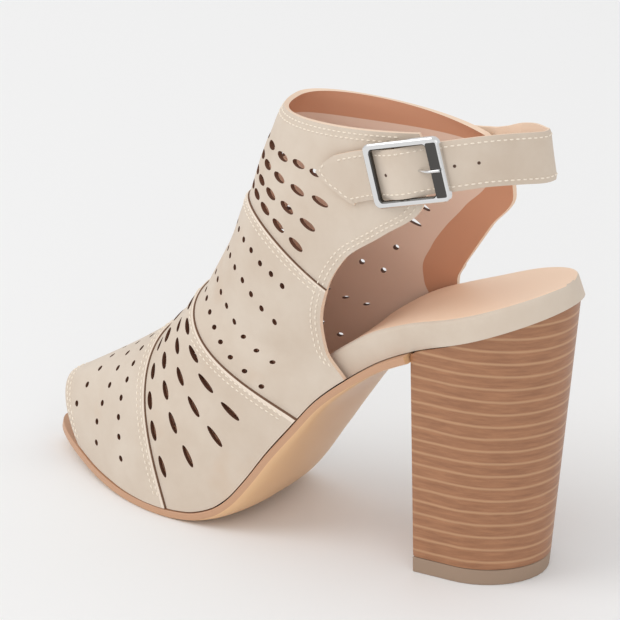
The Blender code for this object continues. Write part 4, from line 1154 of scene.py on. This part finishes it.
def dress_outsole(tan, edge_mat):
    lip = OUTSOLE_LIP
    pitch = math.atan((sole_line(0.16) - sole_line(0.24)) / (0.08 * SHOE_LENGTH))
    breast = -HEEL_FRONT - GAP - OUTSOLE_THICKNESS * math.sin(pitch)
    start, end = sole_share(breast), 1.0 + lip / SHOE_LENGTH - 1e-5
    stations = [mix(start, end, math.sin(0.5 * math.pi * k / 120)) for k in range(121)]
    verts, faces, picks = [], [], []
    rings = []
    columns = 24
    for s in stations:
        left, right = outline_x(s, -1, -lip), outline_x(s, 1, -lip)
        belly = SHANK_BELLY * curve(PROFILE, "belly", s)
        ring = []
        for k in range(columns + 1):
            w = -math.cos(math.pi * k / columns)
            x = mix(left, right, 0.5 + 0.5 * w)
            soft = 0.5 * MM * max(0.0, abs(w) - 0.96) / 0.04
            depth = OUTSOLE_THICKNESS + belly * math.sqrt(max(0.0, 1.0 - w * w)) - soft
            ring.append(sole_point(s, x, -depth))
        for x, rise in ((right, -1.5 * MM), (right, -0.2 * MM), (right - 0.2 * MM, 0.0)):
            ring.append(sole_point(s, x, rise))
        for x, rise in ((left + 0.2 * MM, 0.0), (left, -0.2 * MM), (left, -1.5 * MM)):
            ring.append(sole_point(s, x, rise))
        add_ring(ring, verts, rings)
    count = len(rings[0])
    for a, b in zip(rings[:-1], rings[1:]):
        for k in range(count):
            n = (k + 1) % count
            faces.append((a[k], b[k], b[n], a[n]))
            picks.append(0 if k < columns else 1)
    for ring in (rings[0], rings[-1]):
        faces.append(tuple(ring))
        picks.append(0)
    return recalculated(add_object("outsole_dressed", verts, faces, (tan, edge_mat), picks,
                                   ("outsole",), 40.0))


def dress_insole(side_mat, sock):
    end = 1.0 - insole_inset(1.0) / SHOE_LENGTH
    stations = [mix(0.0, end, 0.5 - 0.5 * math.cos(math.pi * k / 150)) for k in range(151)]
    verts, rings, picks = [], [], []
    columns = 20
    for s in stations:
        inset = insole_inset(s)
        left, right = outline_x(s, -1, inset), outline_x(s, 1, inset)
        rise = insole_rise(s)
        soft = min(1.6 * MM, 0.4 * rise)
        half = max(1e-6, 0.5 * (right - left))
        ring = [sole_point(s, left, GAP), sole_point(s, left, 0.5 * rise)]
        for k in range(columns + 1):
            w = -math.cos(math.pi * k / columns)
            x = mix(left, right, 0.5 + 0.5 * w)
            near = max(0.0, abs(w) * half - (half - soft)) / soft
            drop = soft * (1.0 - math.sqrt(max(0.0, 1.0 - near * near))) + SOCK_DISH * (1.0 - w * w)
            ring.append(sole_point(s, x, rise - drop))
        ring += [sole_point(s, right, 0.5 * rise), sole_point(s, right, GAP)]
        add_ring(ring, verts, rings)
    count = len(rings[0])
    faces = join_rings(rings)
    for i in range(len(rings) - 1):
        picks += [1 if 4 <= k < columns and 2 < i < 148 else 0 for k in range(count)]
    for ring in (rings[0], rings[-1]):
        faces.append(tuple(ring))
        picks.append(0)
    return recalculated(add_object("insole_dressed", verts, faces, (side_mat, sock), picks,
                                   ("insole",), 40.0))


def dress_heel(stack):
    verts, rings = [], []
    arc, levels = 40, 24
    low = TOP_PIECE_HEIGHT + GAP
    share = TOP_PIECE_HEIGHT / HEEL_RISE
    for k in range(levels + 1):
        t = mix(share, 1.0, k / levels)
        lateral, medial = [], []
        for i in range(arc + 1):
            a = i / arc
            x0, y0 = heel_half_plan(HEEL_BASE_WIDTH, HEEL_BASE_BACK, a)
            x1, y1 = heel_half_plan(HEEL_TOP_WIDTH, HEEL_TOP_BACK, a)
            top = sole_line(sole_share(y1))
            x, y = mix(x0, x1, t), mix(y0, y1, t)
            z = low if k == 0 else top * t
            soft = 0.6 * MM if i == 0 else 0.0
            lateral.append(Vector((x - soft, y, z)))
            medial.append(Vector((-x + soft, y, z)))
        loop = lateral + medial[::-1][1:]
        add_ring(loop, verts, rings)
    count = len(rings[0])
    faces = join_rings(rings)
    for ring in (rings[0], rings[-1]):
        for k in range(arc):
            faces.append((ring[k], ring[k + 1], ring[(count - 1 - k) % count], ring[(count - k) % count]))
    return recalculated(add_object("heel_block_dressed", verts, faces, (stack,), None,
                                   ("heel_block",), 40.0))


# Build
nubuck = hide_material("nubuck", NUBUCK, NUBUCK_DARK, SMUDGE)
edge = plain_material("turned_edge", EDGE, 0.7, 0.0, 0.2)
# Lining and facing colours hold painted light for the inside of the upper.
lining_with_painted_light = plain_material("lining_with_painted_light", LINING_WITH_PAINTED_LIGHT, 0.75, 0.0, 0.3)
facing = plain_material("facing", FACING_WITH_PAINTED_LIGHT, 0.7, 0.0, 0.3)
sock = plain_material("sock", SOCK, 0.5, 0.0, 0.15, 900.0)
tan = plain_material("outsole_tan", TAN, 0.34, 0.0, 0.05, 400.0)
tan_edge = plain_material("outsole_edge", TAN_EDGE, 0.4)
stack = stacked_material("stacked_heel")
lift_mat = plain_material("top_piece", TOP_PIECE, 0.6, 0.0, 0.2, 800.0)
thread = plain_material("thread", THREAD, 0.6)
silver = plain_material("polished_steel", SILVER, 0.16, 1.0)
# Colour of the strap's hole disks: painted shade.
dark = plain_material("strap_hole_painted_shade", srgb(88, 66, 54), 0.9)
# Rolled seam edge: lighter, partly its own tone, partly painted highlight.
roll_tone_and_highlight = plain_material("panel_roll_tone_and_highlight", ROLL_TONE_AND_HIGHLIGHT, 0.8, 0.0, 0.2)
# Walls of the holes in the upper: dark brown as painted shade.
hole_wall_shade = plain_material("hole_wall_painted_shade", HOLE_WALL_SHADE, 0.8)
# Seam groove: painted shadow.
groove = plain_material("seam_groove_painted_shadow", SEAM_SHADOW_COLOUR, 0.85)
# Dark steel for the buckle's inner walls and rear bar: painted dark reflection.
dark_reflection_steel = plain_material("shaded_steel", srgb(84, 82, 80), 0.18, 1.0)

dress_upper(nubuck, lining_with_painted_light, facing, edge, hole_wall_shade, groove, roll_tone_and_highlight)
dress_upper_stitches(thread)
strap, strap_stations = dress_strap(nubuck, edge, edge)
dress_strap_details(strap_stations, thread, dark)
soften("buckle_frame", "buckle_frame_dressed", silver, 0.35 * MM, 3, shade=dark_reflection_steel)
dress_rear_bar(dark_reflection_steel)
soften("buckle_prong", "buckle_prong_dressed", silver, 0.1 * MM, 2)
soften("buckle_tab", "buckle_tab_dressed", nubuck, 0.1 * MM, 1)
dress_outsole(tan, tan_edge)
dress_insole(nubuck, sock)
dress_heel(stack)
soften("heel_top_piece", "heel_top_piece_dressed", lift_mat, 0.4 * MM, 3)

# Floor, light and camera
floor_mesh = bpy.data.meshes.new("floor")
reach = 6.0
floor_mesh.from_pydata([(-reach, -reach, 0), (reach, -reach, 0), (reach, reach, 0), (-reach, reach, 0)],
                       [], [(0, 1, 2, 3)])
floor = bpy.data.objects.new("floor", floor_mesh)
floor_mesh.materials.append(plain_material("floor", srgb(243, 243, 243), 0.95))
bpy.context.scene.collection.objects.link(floor)

scene = bpy.context.scene
scene.view_settings.view_transform = "Standard"
world = bpy.data.worlds.new("studio")
world.use_nodes = True
world.node_tree.nodes["Background"].inputs["Color"].default_value = (1.0, 1.0, 1.0, 1.0)
world.node_tree.nodes["Background"].inputs["Strength"].default_value = 0.80
scene.world = world


def area_light(name, place, target, size, power):
    light = bpy.data.lights.new(name, "AREA")
    light.shape = "DISK"
    light.size = size
    light.energy = power
    obj = bpy.data.objects.new(name, light)
    scene.collection.objects.link(obj)
    place, target = Vector(place), Vector(target)
    obj.location = place
    obj.rotation_mode = "QUATERNION"
    obj.rotation_quaternion = (target - place).to_track_quat("-Z", "Y")
    return obj


SHOE_MIDDLE = (-0.004, -0.075, 0.080)
area_light("key", (1.6, -1.9, 2.4), SHOE_MIDDLE, 2.4, 28.0)
area_light("fill", (2.2, 1.4, 1.6), SHOE_MIDDLE, 2.4, 10.0)

VIEW_AZIMUTH = 28.0
VIEW_ELEVATION = 21.55
VIEW_DISTANCE = 1.707
turn, rise = math.radians(VIEW_AZIMUTH), math.radians(VIEW_ELEVATION)
back = Vector((math.cos(turn) * math.cos(rise), math.sin(turn) * math.cos(rise), math.sin(rise)))
spot = Vector((0.0, 0.00175, 0.1199)) + back * VIEW_DISTANCE
camera_data = bpy.data.cameras.new("camera")
camera_data.sensor_width = 36.0
camera_data.lens = 281.0
camera_data.clip_end = 30.0
camera = bpy.data.objects.new("camera", camera_data)
scene.collection.objects.link(camera)
camera.location = spot
camera.rotation_mode = "QUATERNION"
camera.rotation_quaternion = (Vector(SHOE_MIDDLE) - spot).to_track_quat("-Z", "Y")
scene.camera = camera
